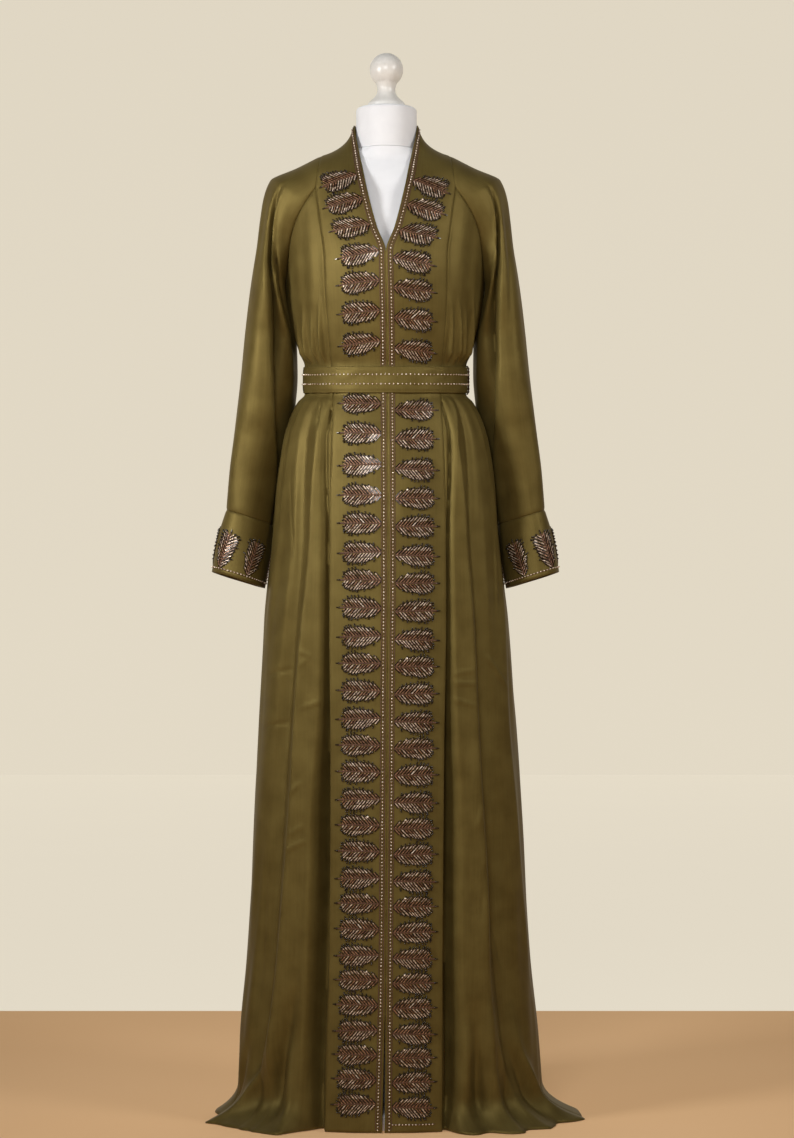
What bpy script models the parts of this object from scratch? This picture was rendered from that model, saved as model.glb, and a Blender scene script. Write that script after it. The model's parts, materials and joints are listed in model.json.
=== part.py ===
"""A long satin abaya with its own belt, on a limbless dress form with a turned finial and a stand.

Metres, +Z up. The garment's front looks along -Y, and +X is the viewer's right. The origin is the centre
of the stand base's underside. Each sewn piece is a thin closed wall of cloth in an object of its own, and
pieces that are sewn together stand one seam gap apart. Paired pieces are worked out for the right side,
and turned over for the left.
"""

import math

import bmesh
import bpy
import numpy as np
from mathutils import Vector, kdtree

# Cloth and seams
CLOTH = 0.0016
SEAM_GAP = 0.0003
STEP = 1e-3
SAME_POINT = 2e-5

# Heights of the garment
HEM = 0.0010
POOL_HEIGHT, POOL_CURVE = 0.050, 2.2
SLIT_TOP = 0.255
BELT_LOW = 1.1175
BELT_HIGH = 1.1615
NECK_JOIN = 1.427

# Belt, and how much lower it lies in front than at the sides
BELT_MIDDLE = 1.1395
BELT_DIP = 0.0075
BELT_DIP_REACH = 0.08
BELT_HEIGHT = 0.0402
BELT_THICK = 0.0022
BELT_SIDE = 0.1264
BELT_FRONT = 0.1038
BELT_BACK = 0.0993
BELT_LAP = 24.0
BELT_LAP_RISE, BELT_LAP_START, BELT_LAP_RUN = 0.0028, 340.0, 18.0
LOOP_RADIUS = 0.0012
LOOP_STAND_OFF = {-1: 0.0034, 1: 0.0006}
LOOP_STRAIGHT, LOOP_UNDER, LOOP_OVER = 0.0215, 0.0255, 0.0275

# Hem slit, cuff slit and cuff hooks
HEM_SLIT = 0.0046
CUFF_SLIT = 0.0050
CUFF_GIRTH = 0.26
HOOK_RADIUS = 0.0008
HOOK_REACH = 0.0090
HOOK_ROUND, HOOK_DOWN = 0.035, 0.93
HOOK_BENDS = ((0.0, 0.0), (0.5, 0.0), (0.85, 0.0006), (1.0, 0.0022), (0.85, 0.0040))

# Dress form and stand
NECK_RADIUS = 0.0471
NECK_SEAM = 1.4970
CAP_TOP = 1.5628
CAP_ROUND = 0.0060
POLE_RADIUS = 0.0125
BASE_RADIUS = 0.122
BASE_HEIGHT = 0.026
BASE_ROUND = 0.006
TORSO_FOOT = 0.800

# Facets
FRONT_SPLIT = 3
BACK_SPLIT = 2
RAGLAN_ROWS = 6
NECK_ROWS = 5
SLEEVE_COLUMNS = 20
BAND_COLUMNS = 4
BELT_COLUMNS = 44
BODICE_ROWS = 6
BODY_ROWS = (HEM, 0.007, 0.018, 0.035, 0.060, 0.12, 0.20, 0.30, 0.40, 0.50, 0.60, 0.70,
             0.79, 0.87, 0.94, 1.00, 1.05, 1.085, 1.105, BELT_LOW, BELT_HIGH)

RIM_STEPS = 3

SIDE_NAMES = {-1: "left", 1: "right"}


class Table:
    """Sizes under named columns. The first column is the place that the others are read at."""

    def __init__(self, columns, rows):
        self.columns = dict(zip(columns, np.array(rows, float).T))
        self.places = self.columns[columns[0]]

    def read(self, name, place):
        """A smooth curve through one column, which never overshoots its rows."""
        x, y = self.places, self.columns[name]
        step = np.diff(x)
        slope = np.diff(y) / step
        both = slope[:-1] * slope[1:]
        total = slope[:-1] + slope[1:]
        tangent = np.zeros_like(y)
        tangent[1:-1] = np.where(both > 0, 2 * both / np.where(total == 0, 1, total), 0)
        tangent[0], tangent[-1] = slope[0], slope[-1]
        at = np.clip(np.asarray(place, float), x[0], x[-1])
        k = np.clip(np.searchsorted(x, at, side="right") - 1, 0, len(step) - 1)
        t = (at - x[k]) / step[k]
        rise = y[k] * (1 + 2 * t) * (1 - t) ** 2 + y[k + 1] * t ** 2 * (3 - 2 * t)
        lean = step[k] * (tangent[k] * t * (1 - t) ** 2 - tangent[k + 1] * t ** 2 * (1 - t))
        return rise + lean

    def between(self, name, place):
        """One column along straight runs between its rows."""
        return np.interp(place, self.places, self.columns[name])


# Half width at the side seams, and depth of the front and back, of the body at each height
BODY = Table(("height", "side", "front", "back"), (
    (0.00, 0.2350, 0.139, 0.200),
    (0.12, 0.2290, 0.138, 0.192),
    (0.24, 0.2175, 0.137, 0.180),
    (0.33, 0.2125, 0.136, 0.173),
    (0.49, 0.2050, 0.134, 0.162),
    (0.64, 0.1960, 0.132, 0.153),
    (0.77, 0.1875, 0.130, 0.144),
    (0.82, 0.1820, 0.129, 0.140),
    (0.89, 0.1745, 0.127, 0.134),
    (0.97, 0.1690, 0.123, 0.125),
    (1.045, 0.1585, 0.117, 0.114),
    (1.08, 0.1480, 0.110, 0.106),
    (1.105, 0.1350, 0.104, 0.099),
    (BELT_LOW, 0.1238, 0.1012, 0.0967),
    (BELT_HIGH, 0.1238, 0.1012, 0.0967),
    (1.18, 0.1310, 0.106, 0.099),
    (1.22, 0.1435, 0.115, 0.103),
    (1.26, 0.1510, 0.122, 0.106),
    (1.30, 0.1555, 0.125, 0.107),
    (1.34, 0.1600, 0.1215, 0.105),
    (1.38, 0.1660, 0.1125, 0.100),
    (1.43, 0.1720, 0.0960, 0.092),
    (1.48, 0.1720, 0.0700, 0.072),
))

# Distance of the front bands' outer seams, and of their free edges, from the closure
BAND_EDGES = Table(("height", "outer", "neck"), (
    (0.00, 0.0880, 0.0),
    (0.10, 0.0864, 0.0),
    (0.33, 0.0850, 0.0),
    (0.55, 0.0856, 0.0),
    (0.77, 0.0882, 0.0),
    (0.92, 0.0880, 0.0),
    (1.02, 0.0860, 0.0),
    (1.11, 0.0826, 0.0),
    (1.155, 0.0848, 0.0),
    (1.216, 0.0890, 0.0),
    (1.264, 0.0925, 0.0),
    (1.324, 0.0940, 0.0),
    (1.362, 0.0985, 0.0130),
    (1.394, 0.1025, 0.0215),
    (NECK_JOIN, 0.1070, 0.0292),
))
NECK_JOIN_ANGLE = math.degrees(math.asin(
    float(BAND_EDGES.read("outer", NECK_JOIN) / BODY.read("side", NECK_JOIN))))

# How far the hem lies out over the floor, by the angle round from the front
POOL = Table(("angle", "reach"), (
    (-180, 0.045), (-140, 0.050), (-110, 0.036), (-92, 0.040), (-70, 0.040), (-55, 0.034),
    (-42, 0.012), (-26, 0.000), (25, 0.000), (34, 0.016), (45, 0.030), (62, 0.036), (78, 0.052),
    (92, 0.064), (112, 0.052), (140, 0.056), (180, 0.045),
))

# Skirt folds: the angle of each at the hem, knee, hip and belt, its rise at the hem, hip and belt, and
# its half width in degrees at the hem and the belt
FOLD_HEIGHTS = (0.04, 0.50, 0.90, 1.095)
FOLD_START, GATHER_START = 0.030, 0.020
BAND_CLEARANCE = 5.0
FOLDS = (
    ((-30.0, -29.5, -33.5, -42.5), (-0.018, -0.006, -0.004), (5.0, 3.0)),
    ((-58.0, -45.5, -41.0, -47.0), (0.016, 0.007, 0.005), (8.0, 3.8)),
    ((-74.0, -58.0, -53.0, -56.0), (-0.010, -0.004, -0.003), (6.0, 4.5)),
    ((-86.0, -70.0, -64.5, -66.0), (0.006, 0.004, 0.003), (7.0, 5.0)),
    ((28.5, 29.0, 33.5, 43.0), (-0.018, -0.006, -0.004), (4.6, 3.0)),
    ((45.5, 44.7, 44.0, 49.5), (0.014, 0.007, 0.005), (7.0, 3.8)),
    ((57.0, 56.0, 56.0, 58.0), (-0.010, -0.005, -0.004), (5.5, 4.5)),
    ((72.0, 69.0, 70.5, 70.0), (0.012, 0.004, 0.003), (7.5, 5.0)),
    ((105.0, 106.0, 108.0, 110.0), (0.014, 0.005, 0.003), (7.0, 4.5)),
    ((124.0, 125.0, 127.0, 129.0), (-0.012, -0.005, -0.003), (7.0, 4.5)),
    ((143.0, 143.0, 145.0, 147.0), (0.017, 0.006, 0.004), (7.5, 4.5)),
    ((161.0, 162.0, 163.0, 165.0), (-0.014, -0.005, -0.003), (7.0, 4.0)),
    ((178.0, 179.0, 180.0, 181.0), (0.016, 0.006, 0.004), (7.5, 4.5)),
    ((197.0, 196.0, 196.0, 195.0), (-0.013, -0.005, -0.003), (7.0, 4.0)),
    ((216.0, 215.0, 214.0, 212.0), (0.017, 0.006, 0.004), (7.5, 4.5)),
    ((236.0, 234.0, 232.0, 230.0), (-0.012, -0.005, -0.003), (7.0, 4.5)),
    ((254.0, 253.0, 251.0, 249.0), (0.014, 0.005, 0.003), (7.0, 4.5)),
)

# Bodice gathers above the belt: angle at the belt and at the top end, rise, height of the top end and
# half width in degrees
GATHERS = (
    (-67.0, -66.0, 0.0032, 1.235, 3.2),
    (-57.5, -54.0, 0.0032, 1.240, 3.0),
    (-46.0, -41.0, 0.0030, 1.270, 3.0),
    (46.0, 42.0, 0.0026, 1.255, 3.0),
    (55.0, 47.0, 0.0032, 1.270, 3.0),
    (63.5, 54.5, 0.0034, 1.275, 3.0),
    (72.0, 62.0, 0.0028, 1.275, 3.2),
    (115.0, 118.0, 0.0030, 1.250, 4.0),
    (132.0, 135.0, 0.0034, 1.260, 4.0),
    (150.0, 152.0, 0.0034, 1.265, 4.0),
    (168.0, 169.0, 0.0030, 1.250, 4.0),
    (190.0, 189.0, 0.0032, 1.255, 4.0),
    (208.0, 206.0, 0.0034, 1.265, 4.0),
    (226.0, 224.0, 0.0034, 1.260, 4.0),
    (244.0, 241.0, 0.0030, 1.250, 4.0),
)

# Raglan seams from the underarm up: angle round from the front, and height
RAGLAN = Table(("row", "front_angle", "front_z", "back_angle", "back_z"), (
    (0, 90.0, 1.280, 90.0, 1.280),
    (1, 78.0, 1.297, 102.0, 1.305),
    (2, 70.6, 1.322, 110.4, 1.340),
    (3, 64.3, 1.350, 120.0, 1.378),
    (4, 56.1, 1.378, 128.8, 1.412),
    (5, 47.2, 1.403, 137.6, 1.444),
    (6, NECK_JOIN_ANGLE, NECK_JOIN, 146.1, 1.474),
))

# The back neck seam, from the raglan seam to the middle
BACK_NECK = Table(("share", "angle", "z"), (
    (0 / 3, 146.1, 1.474),
    (1 / 3, 154.5, 1.466),
    (2 / 3, 166.6, 1.458),
    (3 / 3, 180.0, 1.455),
))

# Sleeve rings from the cuff seam to the underarm, then arcs up to the band: the outer line, the inner
# line, the sweep from the outer line to each edge, and the depth to the front and back. Near the
# underarm the cloth folds back on itself, and stands off the body by its own thickness.
SLEEVE = Table(("place", "outer_x", "outer_z", "inner_x", "inner_z", "sweep", "front", "back", "stand_off"), (
    (0, 0.2465, 0.938, 0.1815, 0.915, 180, 0.044, 0.046, 0.0),
    (1, 0.2415, 1.000, 0.1735, 0.985, 180, 0.049, 0.051, 0.0),
    (2, 0.2345, 1.055, 0.1640, 1.043, 180, 0.053, 0.055, 0.0),
    (3, 0.2285, 1.105, 0.1500, 1.100, 180, 0.056, 0.058, 0.0),
    (4, 0.2230, 1.150, 0.1445, 1.150, 180, 0.058, 0.060, 0.0),
    (5, 0.2172, 1.200, 0.1500, 1.200, 180, 0.059, 0.061, 0.0),
    (6, 0.2120, 1.240, 0.1560, 1.240, 180, 0.060, 0.062, 0.0),
    (7, 0.2077, 1.280, 0.1557, 1.280, 180, 0.060, 0.062, 0.0024),
    (8, 0.2035, 1.312, 0.1557, 1.280, 150, 0.061, 0.063, 0.0022),
    (9, 0.1985, 1.345, 0.1557, 1.280, 124, 0.063, 0.065, 0.0018),
    (10, 0.1938, 1.385, 0.1557, 1.280, 106, 0.066, 0.067, 0.0),
    (11, 0.1855, 1.420, 0.1557, 1.280, 98, 0.070, 0.067, 0.0),
    (12, 0.1620, 1.4575, 0.1557, 1.280, 93, 0.074, 0.064, 0.0),
    (13, 0.0990, 1.4868, 0.1557, 1.280, 90, 0.0765, 0.0615, 0.0),
))
SLEEVE_UNDERARM, SLEEVE_LAST = 7, 13

# The long fold down the front of each sleeve: where it lies round the sleeve, and how deep it is
SLEEVE_FOLD = Table(("place", "round", "depth"), (
    (0, 0.100, 0.0040),
    (2, 0.163, 0.0070),
    (3, 0.225, 0.0100),
    (4, 0.268, 0.0110),
    (6, 0.280, 0.0100),
    (8, 0.270, 0.0080),
    (10, 0.255, 0.0040),
    (12, 0.250, 0.0),
))
SLEEVE_FOLD_WIDTH = 0.055
SLEEVE_MIDDLE = 0.035

# Cuff rings from the cuff seam down to the open edge
CUFF = Table(("place", "outer_x", "outer_z", "inner_x", "inner_z", "front", "back", "back_drop"), (
    (0, 0.2465, 0.938, 0.1815, 0.915, 0.044, 0.046, 0.0),
    (1, 0.2600, 0.893, 0.1845, 0.866, 0.046, 0.048, 0.004),
    (2, 0.2680, 0.842, 0.1905, 0.8215, 0.047, 0.050, 0.009),
))

# Band from the raglan join (0) over the shoulder (0.5) and the back join (0.75) to the centre back (1):
# its free neck edge, and the line four tenths of the way across, where the collar turns up
COLLAR = Table(("place", "edge_x", "edge_y", "edge_z", "turn_x", "turn_y", "turn_z"), (
    (0.00, 0.0292, -0.0957, NECK_JOIN, 0.0623, -0.0903, NECK_JOIN),
    (0.17, 0.0345, -0.0700, 1.4560, 0.0650, -0.0745, 1.4540),
    (0.33, 0.0405, -0.0430, 1.4860, 0.0645, -0.0500, 1.4810),
    (0.50, 0.0495, 0.0010, 1.5360, 0.0605, 0.0000, 1.5095),
    (0.62, 0.0475, 0.0270, 1.5390, 0.0575, 0.0310, 1.5085),
    (0.75, 0.0370, 0.0430, 1.5380, 0.0450, 0.0540, 1.5060),
    (0.88, 0.0190, 0.0515, 1.5370, 0.0240, 0.0670, 1.5030),
    (1.00, 0.0000, 0.0540, 1.5365, 0.0000, 0.0710, 1.5010),
))
TURN_SHARE = 0.4
SHOULDER_PLACE, BACK_JOIN_PLACE = 0.5, 0.75

# How the garment hangs a little off the form's axis: its middle, and its front closure
SWAY = Table(("height", "middle", "front"), (
    (0.00, 0.0060, -0.0040),
    (0.20, 0.0035, -0.0010),
    (0.45, 0.0033, 0.0012),
    (0.65, 0.0015, 0.0022),
    (0.85, -0.0015, 0.0036),
    (1.11, -0.0015, 0.0035),
    (1.22, -0.0020, 0.0020),
    (1.34, -0.0020, -0.0003),
    (1.54, -0.0008, -0.0008),
))
SWAY_DEPTH = 0.13

TORSO = Table(("height", "side", "front", "back"), (
    (TORSO_FOOT, 0.138, 0.098, 0.102),
    (0.815, 0.147, 0.105, 0.110),
    (0.86, 0.155, 0.110, 0.115),
    (0.93, 0.156, 0.111, 0.114),
    (1.00, 0.148, 0.106, 0.106),
    (1.06, 0.132, 0.096, 0.094),
    (1.10, 0.117, 0.088, 0.085),
    (1.14, 0.111, 0.085, 0.082),
    (1.18, 0.116, 0.091, 0.084),
    (1.24, 0.134, 0.106, 0.090),
    (1.29, 0.143, 0.112, 0.094),
    (1.34, 0.147, 0.108, 0.095),
    (1.38, 0.151, 0.099, 0.091),
    (1.42, 0.149, 0.082, 0.080),
    (1.445, 0.139, 0.070, 0.071),
    (1.465, 0.111, 0.059, 0.062),
    (1.480, 0.078, 0.049, 0.052),
    (NECK_SEAM, NECK_RADIUS, NECK_RADIUS, NECK_RADIUS),
))

# Turned foot of the finial: height above the neck cap, and radius. The ball stands on it.
FINIAL_FOOT = (
    (0.0000, 0.0255), (0.0020, 0.0285), (0.0050, 0.0291), (0.0085, 0.0270), (0.0135, 0.0215),
    (0.0190, 0.0168), (0.0250, 0.0143), (0.0290, 0.0140), (0.0330, 0.0148),
)
BALL_RADIUS = 0.0262
BALL_MIDDLE = 1.6225
BALL_RINGS = 8
BALL_CAP = 0.15

MATERIALS = {
    "satin": ((0.145, 0.112, 0.028), 0.38, 0.0),
    "rouleau": ((0.045, 0.028, 0.014), 0.60, 0.0),
    "hook_metal": ((0.110, 0.070, 0.050), 0.35, 0.8),
    "jersey": ((0.780, 0.790, 0.800), 0.85, 0.0),
    "painted_wood": ((0.820, 0.825, 0.830), 0.30, 0.0),
    "stand_metal": ((0.620, 0.620, 0.630), 0.35, 0.8),
}
SHARP_ANGLE = math.radians(40)


def smooth_step(value):
    """0 below 0, 1 above 1, and an easy rise between."""
    t = np.clip(value, 0.0, 1.0)
    return t * t * (3 - 2 * t)


def angle_between(angle, other):
    """The signed difference of two angles in degrees, the short way round."""
    return (angle - other + 180.0) % 360.0 - 180.0


def seam_angle(height):
    """The angle round from the front at which the band is sewn to the front panel, in degrees."""
    return np.degrees(np.arcsin(BAND_EDGES.read("outer", height) / BODY.read("side", height)))


def skirt_relief(angle, height):
    """How far the skirt's folds stand out from its plain section, in metres."""
    total = np.zeros(np.broadcast(angle, height).shape)
    hem, knee, hip, belt = FOLD_HEIGHTS
    for places, (hem_rise, hip_rise, belt_rise), widths in FOLDS:
        middle = np.interp(height, FOLD_HEIGHTS, places)
        rise = np.interp(height, (hem, hip, belt), (hem_rise, hip_rise, belt_rise))
        off = angle_between(angle, middle) / np.interp(height, (knee, belt), widths)
        total = total + rise * np.exp(-off ** 2)
    return total * smooth_step((BELT_LOW - height) / FOLD_START)


def bodice_relief(angle, height):
    """How far the gathers above the belt stand out, in metres."""
    total = np.zeros(np.broadcast(angle, height).shape)
    for belt_angle, top_angle, rise, top, width in GATHERS:
        share = np.clip((height - BELT_HIGH) / (top - BELT_HIGH), 0, 1)
        off = angle_between(angle, belt_angle + share * (top_angle - belt_angle)) / width
        total = total + rise * np.exp(-off ** 2) * (1 - smooth_step(share))
    return total * smooth_step((height - BELT_HIGH) / GATHER_START)


def dip(angle, height):
    """How much lower than its nominal height the cloth lies near the belt, in metres."""
    reach = np.exp(-((height - BELT_MIDDLE) / BELT_DIP_REACH) ** 2)
    return BELT_DIP * np.cos(np.radians(angle)) * reach


def body_point(angle, height, side=1):
    """The middle of the cloth at an angle round from the front, for one side and turned to the right."""
    turn = np.radians(angle)
    width = BODY.read("side", height)
    depth = np.where(np.cos(turn) >= 0, BODY.read("front", height), BODY.read("back", height))
    x, y = width * np.sin(turn), -depth * np.cos(turn)
    away = np.abs(angle_between(angle, 0.0)) - seam_angle(height)
    out = skirt_relief(side * angle, height) + bodice_relief(side * angle, height)
    pool = POOL.read("reach", angle_between(side * angle, 0.0))
    pool = pool * np.clip(1 - height / POOL_HEIGHT, 0, 1) ** POOL_CURVE
    out = out * smooth_step(away / BAND_CLEARANCE) + pool
    across, along = x / width ** 2, y / depth ** 2
    length = np.hypot(across, along)
    x, y = x + out * across / length, y + out * along / length
    return np.stack(np.broadcast_arrays(x, y, height - dip(angle, height)), axis=-1)


def raglan_seam(row, name):
    """A raglan seam's points, along straight runs between its rows."""
    rows = RAGLAN.places
    corners = body_point(RAGLAN.columns[f"{name}_angle"], RAGLAN.columns[f"{name}_z"])
    return np.stack([np.interp(row, rows, corners[:, axis]) for axis in range(3)], axis=-1)


def panel_height(row, top):
    """The height of a body panel's row, whose last rows spread up to a sloping top edge."""
    last = len(BODY_ROWS) - 1
    rise = np.clip((row - last) / BODICE_ROWS, 0, 1)
    return np.interp(row, range(last + 1), BODY_ROWS) + (top - BELT_HIGH) * rise, rise


def front_point(u, v, side=1):
    """A front panel: u from the band seam to the side seam, v from the hem up to the raglan seam."""
    raglan_row = RAGLAN_ROWS * np.clip(1 - u, 0, 1)
    top_angle, top_z = RAGLAN.between("front_angle", raglan_row), RAGLAN.between("front_z", raglan_row)
    height, rise = panel_height(v * (len(BODY_ROWS) - 1 + BODICE_ROWS), top_z)
    top_share = (top_angle - NECK_JOIN_ANGLE) / (90 - NECK_JOIN_ANGLE)
    share = u + (top_share - u) * rise
    start = seam_angle(height)
    point = body_point(start + share * (90 - start), height, side)
    snap = raglan_seam(raglan_row, "front") - body_point(top_angle, top_z, side)
    return point + snap * (rise ** 3)[..., None]


def back_top(half):
    """The back panel's top edge on one half, from the side seam (0) to the middle (1)."""
    place = np.clip(half, 0, 1) * (BACK_SPLIT * RAGLAN_ROWS + NECK_ROWS)
    raglan_row = np.clip(place / BACK_SPLIT, 0, RAGLAN_ROWS)
    neck = np.clip((place - BACK_SPLIT * RAGLAN_ROWS) / NECK_ROWS, 0, 1)
    angle = np.where(neck > 0, BACK_NECK.read("angle", neck), RAGLAN.between("back_angle", raglan_row))
    height = np.where(neck > 0, BACK_NECK.read("z", neck), RAGLAN.between("back_z", raglan_row))
    plain = body_point(angle, height)
    snap = np.where((neck > 0)[..., None], 0.0, raglan_seam(raglan_row, "back") - plain)
    return angle, height, snap


def back_point(u, v):
    """The back panel: u from the right side seam round to the left, v from the hem to the top edge."""
    half = 1 - np.abs(2 * u - 1)
    side = np.where(u <= 0.5, 1.0, -1.0)
    top_angle, top_z, snap = back_top(half)
    height, rise = panel_height(v * (len(BODY_ROWS) - 1 + BODICE_ROWS), top_z)
    share = half + ((top_angle - 90) / 90 - half) * rise
    point = body_point(180 + side * (90 * share - 90), height)
    flip = np.stack(np.broadcast_arrays(side, 1.0, 1.0), axis=-1)
    return point + snap * flip * (rise ** 3)[..., None]


def arc_point(outer, edge, depth, sweep, share):
    """A point on an elliptic arc from an outer point (share 0) to an edge point (share 1)."""
    turn = np.radians(sweep)
    reach = (depth * np.sin(turn)[..., None] - (edge - outer)) / (1 - np.cos(turn))[..., None]
    at = (turn * share)[..., None]
    return outer - reach + reach * np.cos(at) + depth * np.sin(at)


def upright(x, y, z):
    """Points from three arrays."""
    return np.stack(np.broadcast_arrays(x, y, z), axis=-1).astype(float)


def sleeve_edge(place, name):
    """The sleeve's sewn edge along a raglan seam, or its underarm line below that."""
    seam = raglan_seam(place - SLEEVE_UNDERARM, name)
    out = seam * np.array([1.0, 1.0, 0.0])
    out = out / np.linalg.norm(out, axis=-1, keepdims=True)
    seam = seam + out * SLEEVE.between("stand_off", place)[..., None]
    inner = upright(SLEEVE.read("inner_x", place), 0.0, SLEEVE.read("inner_z", place))
    return np.where((place < SLEEVE_UNDERARM)[..., None], inner, seam)


def sleeve_point(u, v):
    """A sleeve: u from its front edge round the outside to its back edge, v from cuff to band."""
    place = v * SLEEVE_LAST
    outer = upright(SLEEVE.read("outer_x", place), 0.0, SLEEVE.read("outer_z", place))
    share, sweep = np.abs(2 * u - 1), SLEEVE.read("sweep", place)
    halves = []
    for name, sign in (("front", -1.0), ("back", 1.0)):
        depth = upright(0.0, sign * SLEEVE.read(name, place), 0.0)
        halves.append(arc_point(outer, sleeve_edge(place, name), depth, sweep, share))
    point = np.where((u < 0.5)[..., None], *halves)
    off = (u - SLEEVE_FOLD.read("round", place)) / SLEEVE_FOLD_WIDTH
    fold = SLEEVE_FOLD.read("depth", place) * np.exp(-off ** 2)
    inward = upright(SLEEVE.read("outer_x", place) - SLEEVE_MIDDLE, 0.0, point[..., 2]) - point
    return point + inward / np.linalg.norm(inward, axis=-1, keepdims=True) * fold[..., None]


def plain_cuff_point(u, v):
    """A cuff without the sleeve's fold: u as on the sleeve, v down from the cuff seam."""
    place = 2 * v
    trim_share = CUFF_SLIT * smooth_step(v / 0.8) / 2 / CUFF_GIRTH
    share = np.abs(2 * (trim_share + u * (1 - 2 * trim_share)) - 1)
    outer = upright(CUFF.read("outer_x", place), 0.0, CUFF.read("outer_z", place))
    inner = upright(CUFF.read("inner_x", place), 0.0, CUFF.read("inner_z", place))
    depth = np.where(u < 0.5, -CUFF.read("front", place), CUFF.read("back", place))
    point = arc_point(outer, inner, upright(0.0, depth, 0.0), 180.0 + 0 * u, share)
    point[..., 2] -= CUFF.read("back_drop", place) * np.clip(point[..., 1] / 0.05, -1, 1)
    return point


def cuff_point(u, v):
    """A cuff whose upper edge is the sleeve's own lowest ring, fold and all."""
    ring = sleeve_point(u, 0 * u) - plain_cuff_point(u, 0 * u)
    return plain_cuff_point(u, v) + ring * ((1 - np.clip(v, 0, 1)) ** 2)[..., None]


def band_heights():
    """Heights of the band's sections up to the raglan join, the same as the front panel's edge."""
    rise = (NECK_JOIN - BELT_HIGH) / BODICE_ROWS
    return list(BODY_ROWS) + [BELT_HIGH + rise * (i + 1) for i in range(BODICE_ROWS)]


def band_places():
    """The band's sections beyond the raglan join, at the sleeve's and the back panel's own points."""
    places = [0.0]
    for column in range(1, SLEEVE_COLUMNS + 1):
        u = column / SLEEVE_COLUMNS
        places.append(u if u <= SHOULDER_PLACE else SHOULDER_PLACE + (u - SHOULDER_PLACE) / 2)
    back = 1 - BACK_JOIN_PLACE
    return places + [BACK_JOIN_PLACE + back * (i + 1) / NECK_ROWS for i in range(NECK_ROWS)]


def collar_seam(place):
    """The band's sewn edge above the raglan join, on the sleeve and then on the back panel."""
    u = np.where(place < SHOULDER_PLACE, place, SHOULDER_PLACE + (place - SHOULDER_PLACE) * 2)
    on_sleeve = sleeve_point(np.clip(u, 0, 1), np.ones_like(u))
    neck = np.clip((place - BACK_JOIN_PLACE) / (1 - BACK_JOIN_PLACE), 0, 1)
    on_back = body_point(BACK_NECK.read("angle", neck), BACK_NECK.read("z", neck))
    return np.where((neck > 0)[..., None], on_back, on_sleeve)


def band_point(u, v):
    """A band: u from its free edge to its sewn edge, v from the hem to the centre back neck."""
    heights, places = band_heights(), band_places()
    last = len(heights) - 1
    row = v * (last + len(places) - 1)
    height = np.interp(row, range(last + 1), heights)
    slit = HEM_SLIT / 2 * smooth_step((SLIT_TOP - height) / SLIT_TOP)
    free_x = np.maximum(BAND_EDGES.read("neck", height), slit)
    free = np.degrees(np.arcsin(free_x / BODY.read("side", height)))
    low = body_point(free + u * (seam_angle(height) - free), height)
    place = np.interp(row, last + np.arange(len(places)), places)
    edge = upright(*(COLLAR.read(f"edge_{axis}", place) for axis in "xyz"))
    turn = upright(*(COLLAR.read(f"turn_{axis}", place) for axis in "xyz"))
    a, b = u[..., None], TURN_SHARE
    high = (edge * (a - b) * (a - 1) / b + turn * a * (a - 1) / (b * (b - 1))
            + collar_seam(place) * a * (a - b) / (1 - b))
    return np.where((row > last)[..., None], high, low)


def belt_point(travel, share, stand_off=0.0):
    """The belt's middle: travel in degrees from where it starts at the back, share up its height."""
    angle = travel - 180.0 - BELT_LAP / 2
    turn = np.radians(angle)
    lap = BELT_LAP_RISE * smooth_step((travel - BELT_LAP_START) / BELT_LAP_RUN) + stand_off
    depth = np.where(np.cos(turn) >= 0, BELT_FRONT, BELT_BACK) + lap
    z = BELT_MIDDLE + (share - 0.5) * BELT_HEIGHT - BELT_DIP * np.cos(turn)
    return upright((BELT_SIDE + lap) * np.sin(turn), -depth * np.cos(turn), z)


def grid(columns, rows):
    """Shares 0 to 1 across and up, as two arrays."""
    return np.meshgrid(np.linspace(0, 1, columns + 1), np.linspace(0, 1, rows + 1))


def surface_normals(patch, u, v):
    """Unit normals of a patch, by small steps both ways."""
    across = patch(u + STEP, v) - patch(u - STEP, v)
    along = patch(u, v + STEP) - patch(u, v - STEP)
    normal = np.cross(across, along)
    return normal / np.maximum(np.linalg.norm(normal, axis=-1, keepdims=True), 1e-12)


def mirrored(vectors, side):
    """Vectors for the right side, or turned over for the left."""
    return vectors * np.array([side, 1.0, 1.0])


def sway(points):
    """Moves garment points from the garment's own middle to where it hangs on the form."""
    points = points.copy()
    middle, front = (SWAY.read(name, points[..., 2]) for name in ("middle", "front"))
    points[..., 0] += middle + (front - middle) * np.clip(-points[..., 1] / SWAY_DEPTH, 0, 1)
    return points


class Panel:
    """A piece of cloth before it is cut out: its name, grid of points, normals and seam corners."""

    def __init__(self, name, patch, columns, rows, side=1, corners=1, outward=1):
        u, v = grid(columns, rows)
        self.name = name
        self.points = mirrored(patch(u, v), side)
        self.normals = mirrored(surface_normals(patch, u, v) * outward, side)
        self.corners = corners

    def edges(self):
        """The four edges as index pairs, bottom, right, top and left."""
        rows, columns = self.points.shape[:2]
        across, along = np.arange(columns), np.arange(rows)
        return ((0 * across, across), (along, 0 * along + columns - 1),
                (0 * across + rows - 1, across), (along, 0 * along))

    def trimmed(self):
        """The points with every edge drawn in by half a seam gap."""
        points = self.points.copy()
        for line, inner in ((np.s_[0, :], np.s_[1, :]), (np.s_[-1, :], np.s_[-2, :]),
                            (np.s_[:, 0], np.s_[:, 1]), (np.s_[:, -1], np.s_[:, -2])):
            way = points[inner] - points[line]
            points[line] += way / np.linalg.norm(way, axis=-1, keepdims=True) * SEAM_GAP / 2
        return points


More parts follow.
